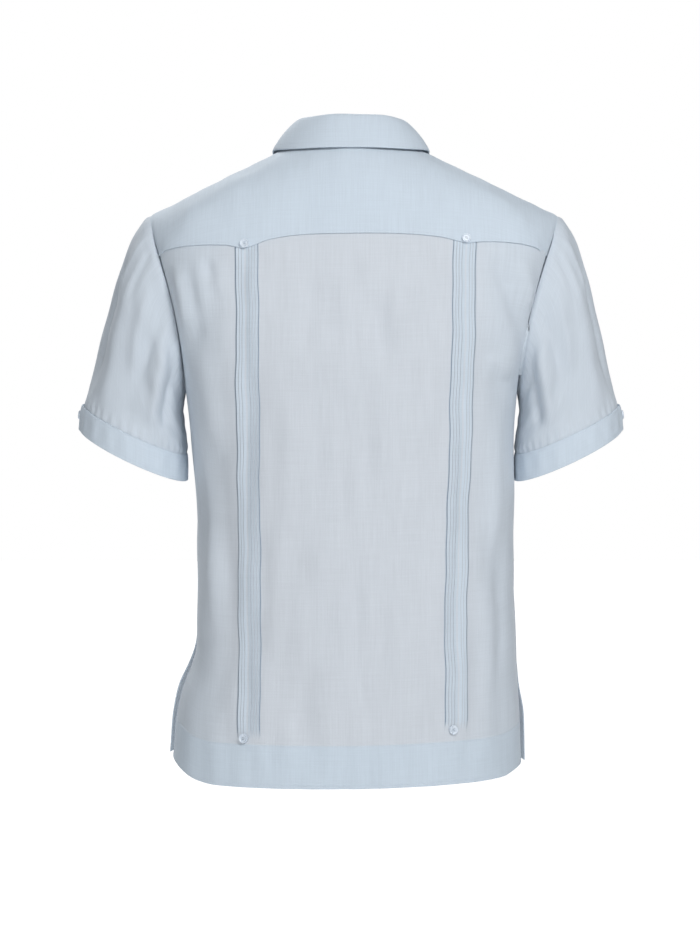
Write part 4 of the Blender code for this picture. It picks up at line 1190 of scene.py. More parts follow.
@dataclass
class BackPanel(Panel):
    """The back panel with its two tuck columns, deep hem facing and side vents."""

    lines: Table = Table("z left right", (
        (-0.700, 0.1195, 0.1238), (-0.500, 0.1200, 0.1243),
        (-0.250, 0.1215, 0.1310), (-0.100, 0.1225, 0.1335)))
    tuck_ends: tuple[float, float] = (-0.674, -0.664)
    under_yoke: float = 0.003
    crease_strength: float = 1.9
    waves: Waviness = Waviness(11)
    creases: tuple[Crease, ...] = (
        Crease(0.205, -0.120, 0.190, -0.215, 0.012, 0.0040, 0.004, 0.3),
        Crease(0.192, -0.125, 0.176, -0.230, 0.009, -0.0022, 0.003),
        Crease(0.180, -0.110, 0.168, -0.190, 0.010, 0.0016),
        Crease(0.172, -0.112, 0.160, -0.150, 0.006, -0.0012),
        Crease(0.158, -0.110, 0.150, -0.170, 0.009, 0.0012),
        Crease(0.190, -0.210, 0.158, -0.360, 0.016, 0.0030, 0.010),
        Crease(0.176, -0.300, 0.150, -0.480, 0.018, -0.0026, -0.006),
        Crease(0.165, -0.420, 0.178, -0.600, 0.015, 0.0022, 0.006),
        Crease(0.060, -0.120, 0.026, -0.260, 0.020, -0.0020, 0.006),
        Crease(0.030, -0.170, 0.000, -0.300, 0.018, 0.0015, -0.005),
        Crease(-0.018, -0.150, -0.040, -0.250, 0.017, -0.0022, 0.004),
        Crease(-0.055, -0.190, -0.030, -0.380, 0.022, 0.0014),
        Crease(0.075, -0.260, 0.085, -0.520, 0.020, 0.0013, 0.006),
        Crease(-0.080, -0.320, -0.090, -0.560, 0.020, -0.0014, 0.004),
        Crease(0.010, -0.460, -0.020, -0.690, 0.026, -0.0018, 0.006),
        Crease(0.070, -0.560, 0.050, -0.710, 0.022, -0.0018, 0.004),
        Crease(-0.060, -0.520, -0.050, -0.700, 0.022, 0.0015, 0.004),
        Crease(-0.165, -0.110, -0.180, -0.165, 0.008, -0.0018),
        Crease(-0.180, -0.115, -0.200, -0.215, 0.010, -0.0020, -0.004),
        Crease(-0.196, -0.120, -0.212, -0.190, 0.010, 0.0030, 0.003),
        Crease(-0.170, -0.160, -0.188, -0.270, 0.014, 0.0022, 0.003),
        Crease(-0.160, -0.230, -0.186, -0.262, 0.007, 0.0014),
        Crease(-0.152, -0.200, -0.175, -0.300, 0.014, -0.0018, 0.003),
        Crease(-0.186, -0.290, -0.168, -0.480, 0.015, 0.0024, 0.006),
        Crease(-0.160, -0.400, -0.172, -0.560, 0.014, -0.0018, 0.003),
        Crease(-0.176, -0.440, -0.171, -0.640, 0.007, -0.0016, 0.002))

    def build(self) -> Sheet:
        """Make and dress the back panel."""
        rows = np.concatenate([self.hem_rows, spans((0.132, 0), (1.0, 64), (2.0, 44)),
                               [2.0 + self.under_yoke / 0.165]])[:, None]
        left, off_left = self._half(Side.LEFT, rows)
        right, off_right = self._half(Side.RIGHT, rows)
        middle = BODY.at(1e-6, BODY.height(Face.BACK, Side.LEFT, 1e-6, rows), Face.BACK)
        points = np.concatenate([left, middle, right[:, ::-1]], axis=1)
        off = np.concatenate([off_left, np.full((1, 1), 1.0), off_right[:, ::-1]], axis=1)
        off = np.broadcast_to(off, points.shape[:2])
        sheet = Sheet("linen_back", points, height_core(points))
        across, _ = sheet.lengths()
        x, z = points[..., 0], points[..., 2]
        under = BODY.seam(x) - z
        fade = ease((z - np.where(x > 0, *self.tuck_ends)) / 0.005)
        tucks = self.tucks.height(off) * fade
        sheet.fold = tucks * mix(0.35, 1.0, ease(under / 0.006))
        sheet.layers = 0.9 * ease((self.tucks.half - np.abs(off)) / 0.002) * fade * ease(tucks / 2e-4)
        # Painted shade in the crevices beside the tucks.
        sheet.shade = self.tucks.shade(off) * fade
        sheet.layers = np.maximum(sheet.layers, 0.45 * ease((np.abs(x) - 0.110) / 0.080))
        creases = sum(crease.height(x, z) for crease in self.creases)
        rise = self.crease_strength * creases + self.waves.height(x, z)
        rise = rise * mix(0.05, 1.0, ease(under / 0.030))
        edge = np.minimum(across - across[:, :1], across[:, -1:] - across)
        rise = rise * self.left_at_armhole(edge, z)
        rise = rise + self.edges_rise(sheet, Face.BACK, edge, np.sign(x))
        sheet.rise = rise + groove(under, 0.0010, 0.0035)
        self.sew_hem(sheet, "stitches_back_hem", (Edge.FIRST, Edge.LAST))
        return self.settle(sheet, SINGLE_LINEN, ["back_panel"], (0.55, 0.65), 0.335)

    def _half(self, side: Side, rows: Array) -> tuple[Array, Array]:
        """Half of the panel from its side edge to just before the middle.

        Args:
            side: the wearer's left or right.
            rows: the rows, as a column.

        Returns:
            The points, and each column's offset from the tuck column's middle.
        """
        rough = BODY.height(Face.BACK, side, int(side) * 0.125, rows)
        wobble = 0.0005 * np.sin(rough * 47.0 + int(side)) + 0.0003 * np.sin(rough * 113.0)
        centre = self.lines.read(SIDE_NAMES[side], rough) + wobble
        offsets = self.tucks.offsets()[::-1][None, :]
        shares = np.linspace(0.0, 1.0, 33)[None, :-1] ** 1.25
        outer = self.outer_part(Face.BACK, side, rows, int(side) * (centre + self.tucks.half), shares)
        x = int(side) * (centre + offsets)
        column = BODY.at(x, BODY.height(Face.BACK, side, x, rows), Face.BACK)
        shares = np.linspace(0.0, 1.0, 40)[None, 1:-1]
        x = int(side) * (centre - self.tucks.half) * (1.0 - shares)
        centre_part = BODY.at(x, BODY.height(Face.BACK, side, x, rows), Face.BACK)
        far, near = np.full((1, outer.shape[1]), 1.0), np.full((1, shares.shape[1]), 1.0)
        return (np.concatenate([outer, column, centre_part], axis=1),
                np.concatenate([far, offsets, near], axis=1))


@dataclass
class FrontPanel(Panel):
    """One front: the left ends at the band, and the right goes on under it."""

    side: Side = Side.LEFT
    tuck_line: float = 0.098
    tuck_end: float = -0.668
    crease_strength: float = 1.8
    seed: int = 23
    shift: float = 0.0
    form_top: float = 1.6
    lean_shoulder: float = 0.75
    lean_neck: float = 0.45
    lean_loss: float = 0.35
    yoke_turn: float = -32.0
    band_edge: float = 0.0155
    underlap: float = 0.012
    sink: float = 0.0028
    sink_from: tuple[float, float] = (0.0265, 0.0172)
    creases: tuple[Crease, ...] = (
        Crease(0.195, -0.130, 0.172, -0.240, 0.012, 0.0026, 0.005),
        Crease(0.178, -0.150, 0.150, -0.270, 0.011, -0.0022, 0.004),
        Crease(0.186, -0.280, 0.150, -0.440, 0.016, 0.0026, 0.006),
        Crease(0.160, -0.330, 0.140, -0.560, 0.018, -0.0024),
        Crease(0.170, -0.480, 0.176, -0.660, 0.014, 0.0018),
        Crease(0.060, -0.180, 0.050, -0.340, 0.018, -0.0018, 0.004),
        Crease(0.045, -0.300, 0.062, -0.480, 0.020, 0.0016),
        Crease(0.070, -0.420, 0.050, -0.640, 0.022, -0.0018, 0.005),
        Crease(0.035, -0.540, 0.040, -0.700, 0.018, 0.0014))

    def drape(self, x: Array, z: Array) -> Array:
        """How far this front's creases and waves stand out at x and z."""
        x, z = x * int(self.side) - self.shift, z + 2.0 * self.shift
        creases = sum(crease.height(x, z) for crease in self.creases)
        return self.crease_strength * creases + Waviness(self.seed).height(x, z)

    def top(self, x: Array) -> Array:
        """Top edge at x: the yoke's front seam, then the neck seam."""
        start = BODY.neck(self.yoke_turn) * np.array([int(self.side), 1.0, 1.0])
        end = BODY.armhole(self.side, BODY.front_step)
        share = ((x - start[0]) / (end[0] - start[0]))[..., None]
        turn = -np.degrees(np.arccos(np.clip(x / BODY.neck_half, -1.0, 1.0)))
        return np.where(np.abs(x)[..., None] > abs(start[0]), mix(start, end, share), BODY.neck(turn))

    def carry_on(self, rows: Array, base: Array, before: Array, top: Array) -> Array:
        """Points above the chest, from the body's form to the top edge.

        Args:
            rows: rows above form_top, as a column.
            base, before: each column's last two points on the form.
            top: each column's end.

        Returns:
            Points of shape (rows, columns, 3).
        """
        reach = np.linalg.norm(top - base, axis=-1, keepdims=True)
        blend = ease((np.abs(base[..., 0]) - BODY.neck_half + 0.01) / 0.02)
        back = mix(self.lean_neck, self.lean_shoulder, blend)
        arrive = unit(stack(0.0 * back, back, 1.0 - self.lean_loss * back)) * reach
        share = ((rows - self.form_top) / (2.0 - self.form_top))[..., None]
        return curve_between(base, unit(base - before) * reach, top, arrive, share)

    def _columns(self, rows: Array) -> tuple[Array, Array, Array]:
        """All points of the front.

        Args:
            rows: the rows, as a column.

        Returns:
            The points, each column's offset from the tucks' middle, and its distance from the
            centre front where it is between the tucks and the front edge (1 elsewhere).
        """
        side = int(self.side)
        low, prior = np.minimum(rows, self.form_top), np.full((1, 1), self.form_top - 0.1)
        shares = np.linspace(0.0, 1.0, 31)[None, :-1] ** 1.15
        stop = side * (self.tuck_line + self.tucks.half)
        offsets = self.tucks.offsets()[::-1]
        inner_start = self.tuck_line - self.tucks.half
        if self.side == Side.LEFT:
            inner = spans((inner_start, 0), (self.band_edge, 33))[1:]
        else:
            inner = spans((inner_start, 0), (0.030, 26), (0.014, 9), (-self.underlap, 8))[1:]
        x = np.concatenate([side * (self.tuck_line + offsets), side * inner])[None, :]

        def on_form(row: Array) -> Array:
            """The front's points at rows that lie on the body's form."""
            outer = self.outer_part(Face.FRONT, self.side, row, stop, shares)
            return np.concatenate([outer, BODY.at(x, BODY.height(Face.FRONT, self.side, x, row),
                                                  Face.FRONT)], axis=1)

        points, before = on_form(low), on_form(prior)
        corner = BODY.armhole(self.side, BODY.front_step)[0]
        top_x = np.concatenate([mix(corner, stop, shares[0]), x[0]])
        above = rows[:, 0] > self.form_top
        upper = self.carry_on(rows[above], points[-1:], before, self.top(top_x)[None])
        hole = BODY.armhole(self.side, BODY.step_of(Face.FRONT, rows[above]))
        inwards = np.concatenate([shares[0], np.ones(x.shape[1])])[None, :, None]
        points = np.concatenate([points[~above], mix(hole, upper, ease(inwards / 0.22))], axis=0)
        far = np.full(shares.shape[1], 1.0)
        off = np.concatenate([far, offsets, np.full(len(inner), 1.0)])
        front_x = np.concatenate([far, np.full(len(offsets), 1.0), inner])
        return points, np.broadcast_to(off, points.shape[:2]), np.broadcast_to(front_x, points.shape[:2])

    def build(self) -> Sheet:
        """Make and dress the front."""
        rows = np.concatenate([self.hem_rows, spans((0.132, 0), (1.0, 52), (1.6, 20), (2.0, 16))])[:, None]
        points, off, front_x = self._columns(rows)
        name = SIDE_NAMES[self.side]
        sheet = Sheet("linen_front_" + name, points, height_core(points) - np.array([0.0, 0.0, 0.02]))
        across, up = sheet.lengths()
        z = points[..., 2]
        below_top = up[-1:] - up
        fade = ease((z - self.tuck_end) / 0.006)
        tucks = self.tucks.height(off) * fade
        sheet.fold = tucks * mix(0.35, 1.0, ease(below_top / 0.006))
        sheet.layers = 0.9 * ease((self.tucks.half - np.abs(off)) / 0.002) * fade * ease(tucks / 2e-4)
        # Painted shade in the crevices beside the tucks.
        sheet.shade = self.tucks.shade(off) * fade
        sheet.layers = np.maximum(sheet.layers, 0.35)
        calm = ease(below_top / 0.030) * ease((np.abs(front_x) - 0.018) / 0.02)
        rise = self.drape(points[..., 0], z) * mix(0.05, 1.0, calm)
        edge = np.abs(across - across[:, :1])
        rise = rise * self.left_at_armhole(edge, z)
        rise = rise + self.edges_rise(sheet, Face.FRONT, edge, points[..., 0])
        if self.side == Side.RIGHT:
            start, end = self.sink_from
            rise = rise - self.sink * ease((start - front_x) / (start - end)) * (front_x < 0.5)
        sheet.rise = rise + groove(below_top, 0.0008, 0.003)
        self.sew_hem(sheet, "stitches_front_hems", (Edge.FIRST,))
        flat, area = ((0.27, 0.74), 0.174) if self.side == Side.LEFT else ((0.295, 0.74), 0.194)
        return self.settle(sheet, SINGLE_LINEN, ["front_" + name], flat, area)


@dataclass
class Yoke(Piece):
    """The double back yoke, from the neck over both shoulders to its seams."""

    neck_turn: float = -32.0
    corner_turn: float = 58.0
    slope_side: float = 24.5
    slope_back: float = 36.0
    arrive: Point = (0.86, 0.03, -0.51)
    bend_start: float = 0.45
    pull: tuple[float, float] = (0.5, 0.8)
    flat_turn: float = 16.0
    lap: float = 0.0009
    smoothing: int = 150
    waves: Waviness = Waviness(5, rise=0.0004)
    creases: tuple[Crease, ...] = (
        Crease(0.150, 0.020, 0.110, 0.070, 0.014, -0.0012),
        Crease(-0.160, 0.030, -0.110, 0.085, 0.014, -0.0014),
        Crease(-0.190, 0.060, -0.150, 0.105, 0.010, 0.0012),
        Crease(0.200, 0.060, 0.165, 0.105, 0.010, 0.0012),
        Crease(0.030, 0.085, 0.060, 0.112, 0.012, -0.0009))

    def _columns(self) -> tuple[Array, Array, Array]:
        """Where each column ends on the yoke's outer edge.

        Returns:
            The end points, the direction and pull that each is reached with, and its neck turn.
        """
        left = BODY.armhole(Side.LEFT, BODY.back_step)
        right = BODY.armhole(Side.RIGHT, BODY.back_step)
        x = np.linspace(left[0], right[0], 235)
        z = BODY.seam(x)
        z[0], z[-1] = left[2], right[2]
        seam = BODY.at(x, z, Face.BACK)
        seam[0], seam[-1] = left, right
        down = unit(BODY.at(x, z - 0.004, Face.BACK) - seam)
        inside = np.minimum(left[0] - x, x - right[0])
        scale = mix(self.pull[1], 1.0, ease(inside / 0.03))
        turns = 90.0 - self.corner_turn * x / np.where(x > 0, abs(left[0]), abs(right[0]))
        ends, ways, neck_turns = [seam], [down * scale[:, None]], [turns]
        for side in (Side.LEFT, Side.RIGHT):
            steps = np.linspace(BODY.front_step, BODY.back_step, 43)[:-1]
            share = (steps - BODY.front_step) / (BODY.back_step - BODY.front_step)
            turn = mix(self.neck_turn, 90.0 - self.corner_turn, share)
            bend = ease((share - self.bend_start) / (1.0 - self.bend_start))[:, None]
            slope = np.array([int(side) * self.arrive[0], *self.arrive[1:]])
            corner = down[0] if side == Side.LEFT else down[-1]
            way = unit(mix(slope, corner, bend)) * mix(*self.pull, bend)
            arm = BODY.armhole(side, steps)
            if side == Side.LEFT:
                ends, ways, neck_turns = [arm] + ends, [way] + ways, [turn] + neck_turns
            else:
                ends, ways = ends + [arm[::-1]], ways + [way[::-1]]
                neck_turns = neck_turns + [(180.0 - turn)[::-1]]
        return np.concatenate(ends), np.concatenate(ways), np.concatenate(neck_turns)

    def build(self) -> Sheet:
        """Make and dress the yoke."""
        end, arrive, turn = self._columns()
        start = BODY.neck(turn)
        reach = np.linalg.norm(end - start, axis=-1, keepdims=True)
        flat = (end - start) * np.array([1.0, 1.0, 0.0])
        facing_back = ease((np.sin(np.radians(turn)) - 0.1) / 0.8)
        slope = np.radians(mix(self.slope_side, self.slope_back, facing_back))[:, None]
        leave = unit(flat) * np.cos(slope) - np.array([0.0, 0.0, 1.0]) * np.sin(slope)
        straight = unit(end - start)
        past = self.neck_turn + self.flat_turn - np.minimum(turn, 180.0 - turn)
        front = ease(past / self.flat_turn)[:, None]
        leave, arrive = mix(leave, straight, front), mix(arrive, straight, front)
        share = spans((0.0, 0), (0.88, 35), (1.0, 13))
        points = curve_between(start, leave * reach, end, arrive * reach, share[:, None, None])
        softness = 0.5 * np.sin(math.pi * share[1:-1])[:, None, None]
        for _ in range(self.smoothing):
            beside = (points[1:-1, :-2] + points[1:-1, 2:]) / 2.0
            points[1:-1, 1:-1] += softness * (beside - points[1:-1, 1:-1])
        x, y, z = points[..., 0], points[..., 1], points[..., 2]
        core = np.broadcast_to(np.array([0.0, 0.0, -0.25]), points.shape)
        sheet = Sheet("linen_yoke", points, core, thick=0.0016, grain=(x, 0.8 * (z - y)))
        _, up = sheet.lengths()
        to_edge = up[-1:] - up
        rise = sum(crease.height(x, y) for crease in self.creases) + self.waves.height(x, y)
        rise = rise * ease(to_edge / 0.03) * ease(up / 0.03)
        seam = ease((0.226 - np.abs(end[:, 0])) / 0.006) * (end[:, 1] > 0.0)
        seam = np.broadcast_to(seam[None, :], x.shape)
        rise = rise + self.lap * seam * ease((0.030 - to_edge) / 0.030)
        sheet.rise = rise + groove(to_edge, 0.0018, 0.004) * (1.0 - seam)
        sheet.layers[:] = 1.0
        line, normals = sheet.from_edge(Edge.TOP, 0.0022)
        keep = seam[0] > 0.3
        self.sewing.row("stitches_yoke", line[keep], normals[keep])
        return self.settle(sheet, DOUBLE_LINEN, ["back_yoke"], (0.49, 0.21), 0.094)


@dataclass
class Collar(Piece):
    """The collar: an upright stand round the neck, and the fall that turns over it."""

    stand_height: float = 0.0305
    stand_lean: float = 0.012
    stand_fall: float = 0.005
    stand_clear: float = 0.0009
    clear: float = 0.0014
    reach: float = 176.0
    points_reach: float = 150.0
    rise: float = 0.026
    roll: float = 0.004
    spread: float = 0.020
    dip: float = 0.050
    topstitch: float = 0.0060
    edge: Table = Table("turn out drop", (
        (0.0, 0.0260, 0.0385), (45.0, 0.0300, 0.0375), (90.0, 0.0340, 0.0330),
        (125.0, 0.0360, 0.0360), (150.0, 0.0330, 0.0420)))

    def stand_top(self, turn: Array) -> Array:
        """Top edge of the stand at turns of the neck."""
        front = (1.0 - np.sin(np.radians(turn))) / 2.0
        return BODY.neck(turn, self.stand_height - self.stand_fall * front, self.stand_lean)

    def build_stand(self) -> Sheet:
        """Make and dress the collar stand."""
        turn = 90.0 - np.linspace(self.reach, -self.reach, 260)
        share = np.linspace(0.0, 1.0, 12)[:, None]
        points = mix(BODY.neck(turn, self.stand_clear), self.stand_top(turn), share[..., None])
        sheet = Sheet("linen_collar_stand", points, height_core(points), thick=0.0018)
        sheet.rise = sheet.rise - 0.0004 * bump(share, 0.15)
        sheet.layers[:] = 1.0
        self.sewing.row("stitches_collar", *sheet.from_edge(Edge.BOTTOM, 0.0018))
        return self.settle(sheet, DOUBLE_LINEN, ["collar_stand"], (0.47, 0.032), 0.0139)

    def build_fall(self) -> Sheet:
        """Make and dress the collar's fall."""
        away = np.linspace(-1.0, 1.0, 300)[None, :]
        share = spans((0.0, 0), (0.93, 33), (1.0, 7))[:, None]
        turn = 90.0 + away * mix(self.reach, self.points_reach, ease(share))
        top = self.stand_top(turn)
        out = stack(np.cos(np.radians(turn)), np.sin(np.radians(turn)), 0.0)
        up = np.array([0.0, 0.0, 1.0])
        off = np.abs(turn - 90.0)
        step, drop = self.edge.read("out", off)[..., None], self.edge.read("drop", off)[..., None]
        points = curve_between(top + up * self.clear, up * self.rise + out * self.roll,
                               top + out * step - up * drop, out * self.spread - up * self.dip,
                               share[..., None])
        sheet = Sheet("linen_collar_fall", points, top - up * 0.05, thick=0.0020)
        across, over = sheet.lengths()
        to_edge = over[-1:] - over
        ends = np.minimum(across - across[:, :1], across[:, -1:] - across)
        sheet.rise = 0.0004 * np.sin(turn * 0.11) * ease(to_edge / 0.02)
        sheet.fold = 0.00025 * ease((self.topstitch - np.minimum(to_edge, ends)) / 0.0010)
        sheet.layers[:] = 1.0
        self.sewing.row("stitches_collar", *sheet.from_edge(Edge.TOP, self.topstitch))
        for edge in (Edge.FIRST, Edge.LAST):
            line, normals = sheet.from_edge(edge, self.topstitch)
            self.sewing.row("stitches_collar", line[14:-4], normals[14:-4])
        return self.settle(sheet, DOUBLE_LINEN, ["collar_fall"], (0.51, 0.059), 0.0264)


@dataclass
class Sleeve(Piece):
    """A short sleeve with its cuff, which laps over itself on the outside under a button."""

    side: Side = Side.LEFT
    top_x: float = 0.215
    low_x: float = 0.262
    rings: Table = Table("share x z half rise tilt", (
        (0.0, 0.2585, -0.3180, 0.0620, 0.0285, 0.0085),
        (1.0, 0.2600, -0.3470, 0.0635, 0.0295, 0.0100)))
    cuff_deep: float = 0.060
    cuff_proud: float = 0.0010
    cuff_lift: float = 0.0024
    crease_strength: float = 1.5
    folds: tuple[tuple[float, ...], ...] = (
        (25.0, 11.0, 0.05, 0.95, -0.0035), (52.0, 10.0, 0.10, 1.00, 0.0040),
        (82.0, 12.0, 0.20, 1.00, -0.0045), (112.0, 12.0, 0.05, 0.85, 0.0040),
        (-30.0, 12.0, 0.05, 0.95, -0.0035), (-62.0, 12.0, 0.10, 1.00, 0.0040),
        (-95.0, 13.0, 0.20, 0.95, -0.0045))
    creases: tuple[Crease, ...] = (
        Crease(0.11, 0.02, 0.10, 0.50, 0.012, 0.0020),
        Crease(0.15, 0.00, 0.16, 0.42, 0.011, -0.0018),
        Crease(0.20, 0.10, 0.22, 0.80, 0.018, 0.0024),
        Crease(0.26, 0.05, 0.25, 0.70, 0.018, -0.0030),
        Crease(0.31, 0.10, 0.30, 0.95, 0.018, 0.0030),
        Crease(0.36, 0.15, 0.34, 0.90, 0.015, -0.0024),
        Crease(0.06, 0.20, 0.07, 0.95, 0.018, -0.0022),
        Crease(-0.10, 0.05, -0.09, 0.80, 0.016, 0.0022),
        Crease(-0.20, 0.05, -0.22, 0.90, 0.018, -0.0024),
        Crease(-0.32, 0.10, -0.30, 0.90, 0.018, 0.0024))
    waves: Waviness = Waviness(31, across=0.10, along=0.5, rise=0.0005)
    leave_out: tuple[float, float] = (0.60, 0.80)
    leave_down: tuple[float, float] = (0.80, 0.60)
    leave_back: float = 0.25
    leave_reach: Point = (0.045, 0.130, 0.050)
    arrive_out: tuple[float, float] = (0.05, 0.30)
    arrive_reach: Point = (0.060, 0.235, 0.030)

    def cuff_point(self, angle: Array, share: Array, lift: Array = 0.0) -> Array:
        """Points of the cuff: share 0 is its seam, 1 its lower edge; angle 0 is the outer side."""
        size = {key: self.rings.read(key, share)[..., None] for key in self.rings.names.split()[1:]}
        turn = np.radians(np.asarray(angle, float))[..., None]
        right, upward = np.array([1.0, 0.0, 0.0]), np.array([0.0, 0.0, 1.0])
        long = size["half"] * right + size["rise"] * upward
        deep = np.array([0.0, self.cuff_deep, 0.0]) - size["tilt"] * upward
        radial = long * np.cos(turn) + deep * np.sin(turn)
        point = size["x"] * right + size["z"] * upward + radial
        point = point + unit(radial) * np.asarray(lift)[..., None]
        return point * np.array([int(self.side), 1.0, 1.0])

    def core(self, points: Array) -> Array:
        """Middle of the sleeve near each point."""
        top = np.array([self.top_x * int(self.side), 0.0, (BODY.arm_pit + BODY.arm_top) / 2])
        low = np.array([self.low_x * int(self.side), 0.0, self.rings.rows[0][2]])
        way = low - top
        share = np.clip(np.sum((points - top) * way, -1) / np.sum(way * way), 0.0, 1.0)
        return top + way * share[..., None]

    def form(self, angle: Array, share: Array) -> Array:
        """Points of the sleeve from the armhole (share 0) to the cuff seam (1)."""
        side = int(self.side)
        turn = np.radians(angle)
        high, across = (1.0 + np.cos(turn)) / 2.0, np.abs(np.sin(turn))
        start = BODY.armhole(self.side, angle * BODY.ring / 360.0)
        end = self.cuff_point(angle, 0.0 * angle)
        under, over, beside = self.leave_reach
        leave = unit(stack(side * mix(*self.leave_out, high), self.leave_back * np.sin(turn),
                           -mix(*self.leave_down, high)))
        leave = leave * (mix(under, over, high) + beside * across)[..., None]
        under, over, beside = self.arrive_reach
        arrive = unit(stack(side * mix(*self.arrive_out, high), 0.0, -1.0 + 0.0 * high))
        arrive = arrive * (mix(under, over, high) + beside * across)[..., None]
        point = curve_between(start, leave, end, arrive, share[..., None])
        rise = 0.0
        for ring, wide, first, last, height in self.folds:
            away = (angle - ring + 180.0) % 360.0 - 180.0
            along = np.clip((share - first) / (last - first), 0.0, 1.0)
            rise = rise + height * bump(away, wide) * np.sin(math.pi * along)
        return point + unit(point - self.core(point)) * rise[..., None]

    def build_sleeve(self) -> Sheet:
        """Make and dress the sleeve, whose seam is under the arm."""
        angle = np.linspace(180.0, 540.0, 150, endpoint=False)[None, :]
        share = spans((0.0, 0), (0.14, 15), (0.9, 83), (1.0, 13))[:, None]
        angle, share = np.broadcast_arrays(angle, share)
        points = self.form(angle, share)
        name = SIDE_NAMES[self.side]
        sheet = Sheet("linen_sleeve_" + name, points, self.core(points), wrap=True)
        _, down = sheet.lengths()
        down = down[:, :-1]
        to_cuff = down[-1:] - down
        across = ((angle + 180.0) % 360.0 - 180.0) / 360.0
        rise = sum(crease.height(across, share) for crease in self.creases)
        rise = self.crease_strength * rise + self.waves.height(np.sin(np.radians(angle)) * 0.16, share)
        sheet.layers[:] = 0.45
        rise = rise * ease(down / 0.012) * ease(to_cuff / 0.008)
        pucker = np.sin(angle * 1.05 + 3.0 * np.sin(angle * 0.043)) * 0.0006
        rise = rise + pucker * bump(down - 0.008, 0.010) * ease(down / 0.003)
        dimple = np.sin(angle * 0.62 + 2.0 * np.sin(angle * 0.05)) * 0.0007
        rise = rise + dimple * bump(to_cuff - 0.006, 0.008)
        sheet.rise = rise + groove(down, 0.0020, 0.004) + groove(to_cuff, 0.0012, 0.0035)
        return self.settle(sheet, SINGLE_LINEN, ["sleeve_" + name], (0.48, 0.246), 0.075)

    def build_cuff(self) -> Sheet:
        """Make and dress the cuff."""
        turn = np.linspace(-15.0, 360.0, 300)[None, :]
        share = np.array([0.0, 0.03, 0.08, 0.16, 0.28, 0.42, 0.56, 0.70, 0.82, 0.90, 0.96, 1.0])[:, None]
        turn, share = np.broadcast_arrays(turn, share)
        points = self.cuff_point(turn, share, self.cuff_proud + self.cuff_lift * ease((14.0 - turn) / 13.0))
        name = SIDE_NAMES[self.side]
        sheet = Sheet("linen_cuff_" + name, points, self.core(points), thick=0.0016)
        sheet.rise = (0.0005 * np.sin(turn * 0.31 + 1.3 * share) * np.sin(math.pi * share)
                      - 0.0006 * bump(share, 0.10))
        sheet.fold = 0.0002 * ease((share - 0.90) / 0.04)
        sheet.layers[:] = 1.0
        self.sewing.row("stitches_cuffs", *sheet.from_edge(Edge.BOTTOM, 0.0022))
        self.sewing.row("stitches_cuffs", *sheet.from_edge(Edge.TOP, 0.0030))
        self.sewing.row("stitches_cuffs", *sheet.from_edge(Edge.FIRST, 0.0030))
        return self.settle(sheet, DOUBLE_LINEN, ["cuff_" + name], (0.435, 0.031), 0.0132)


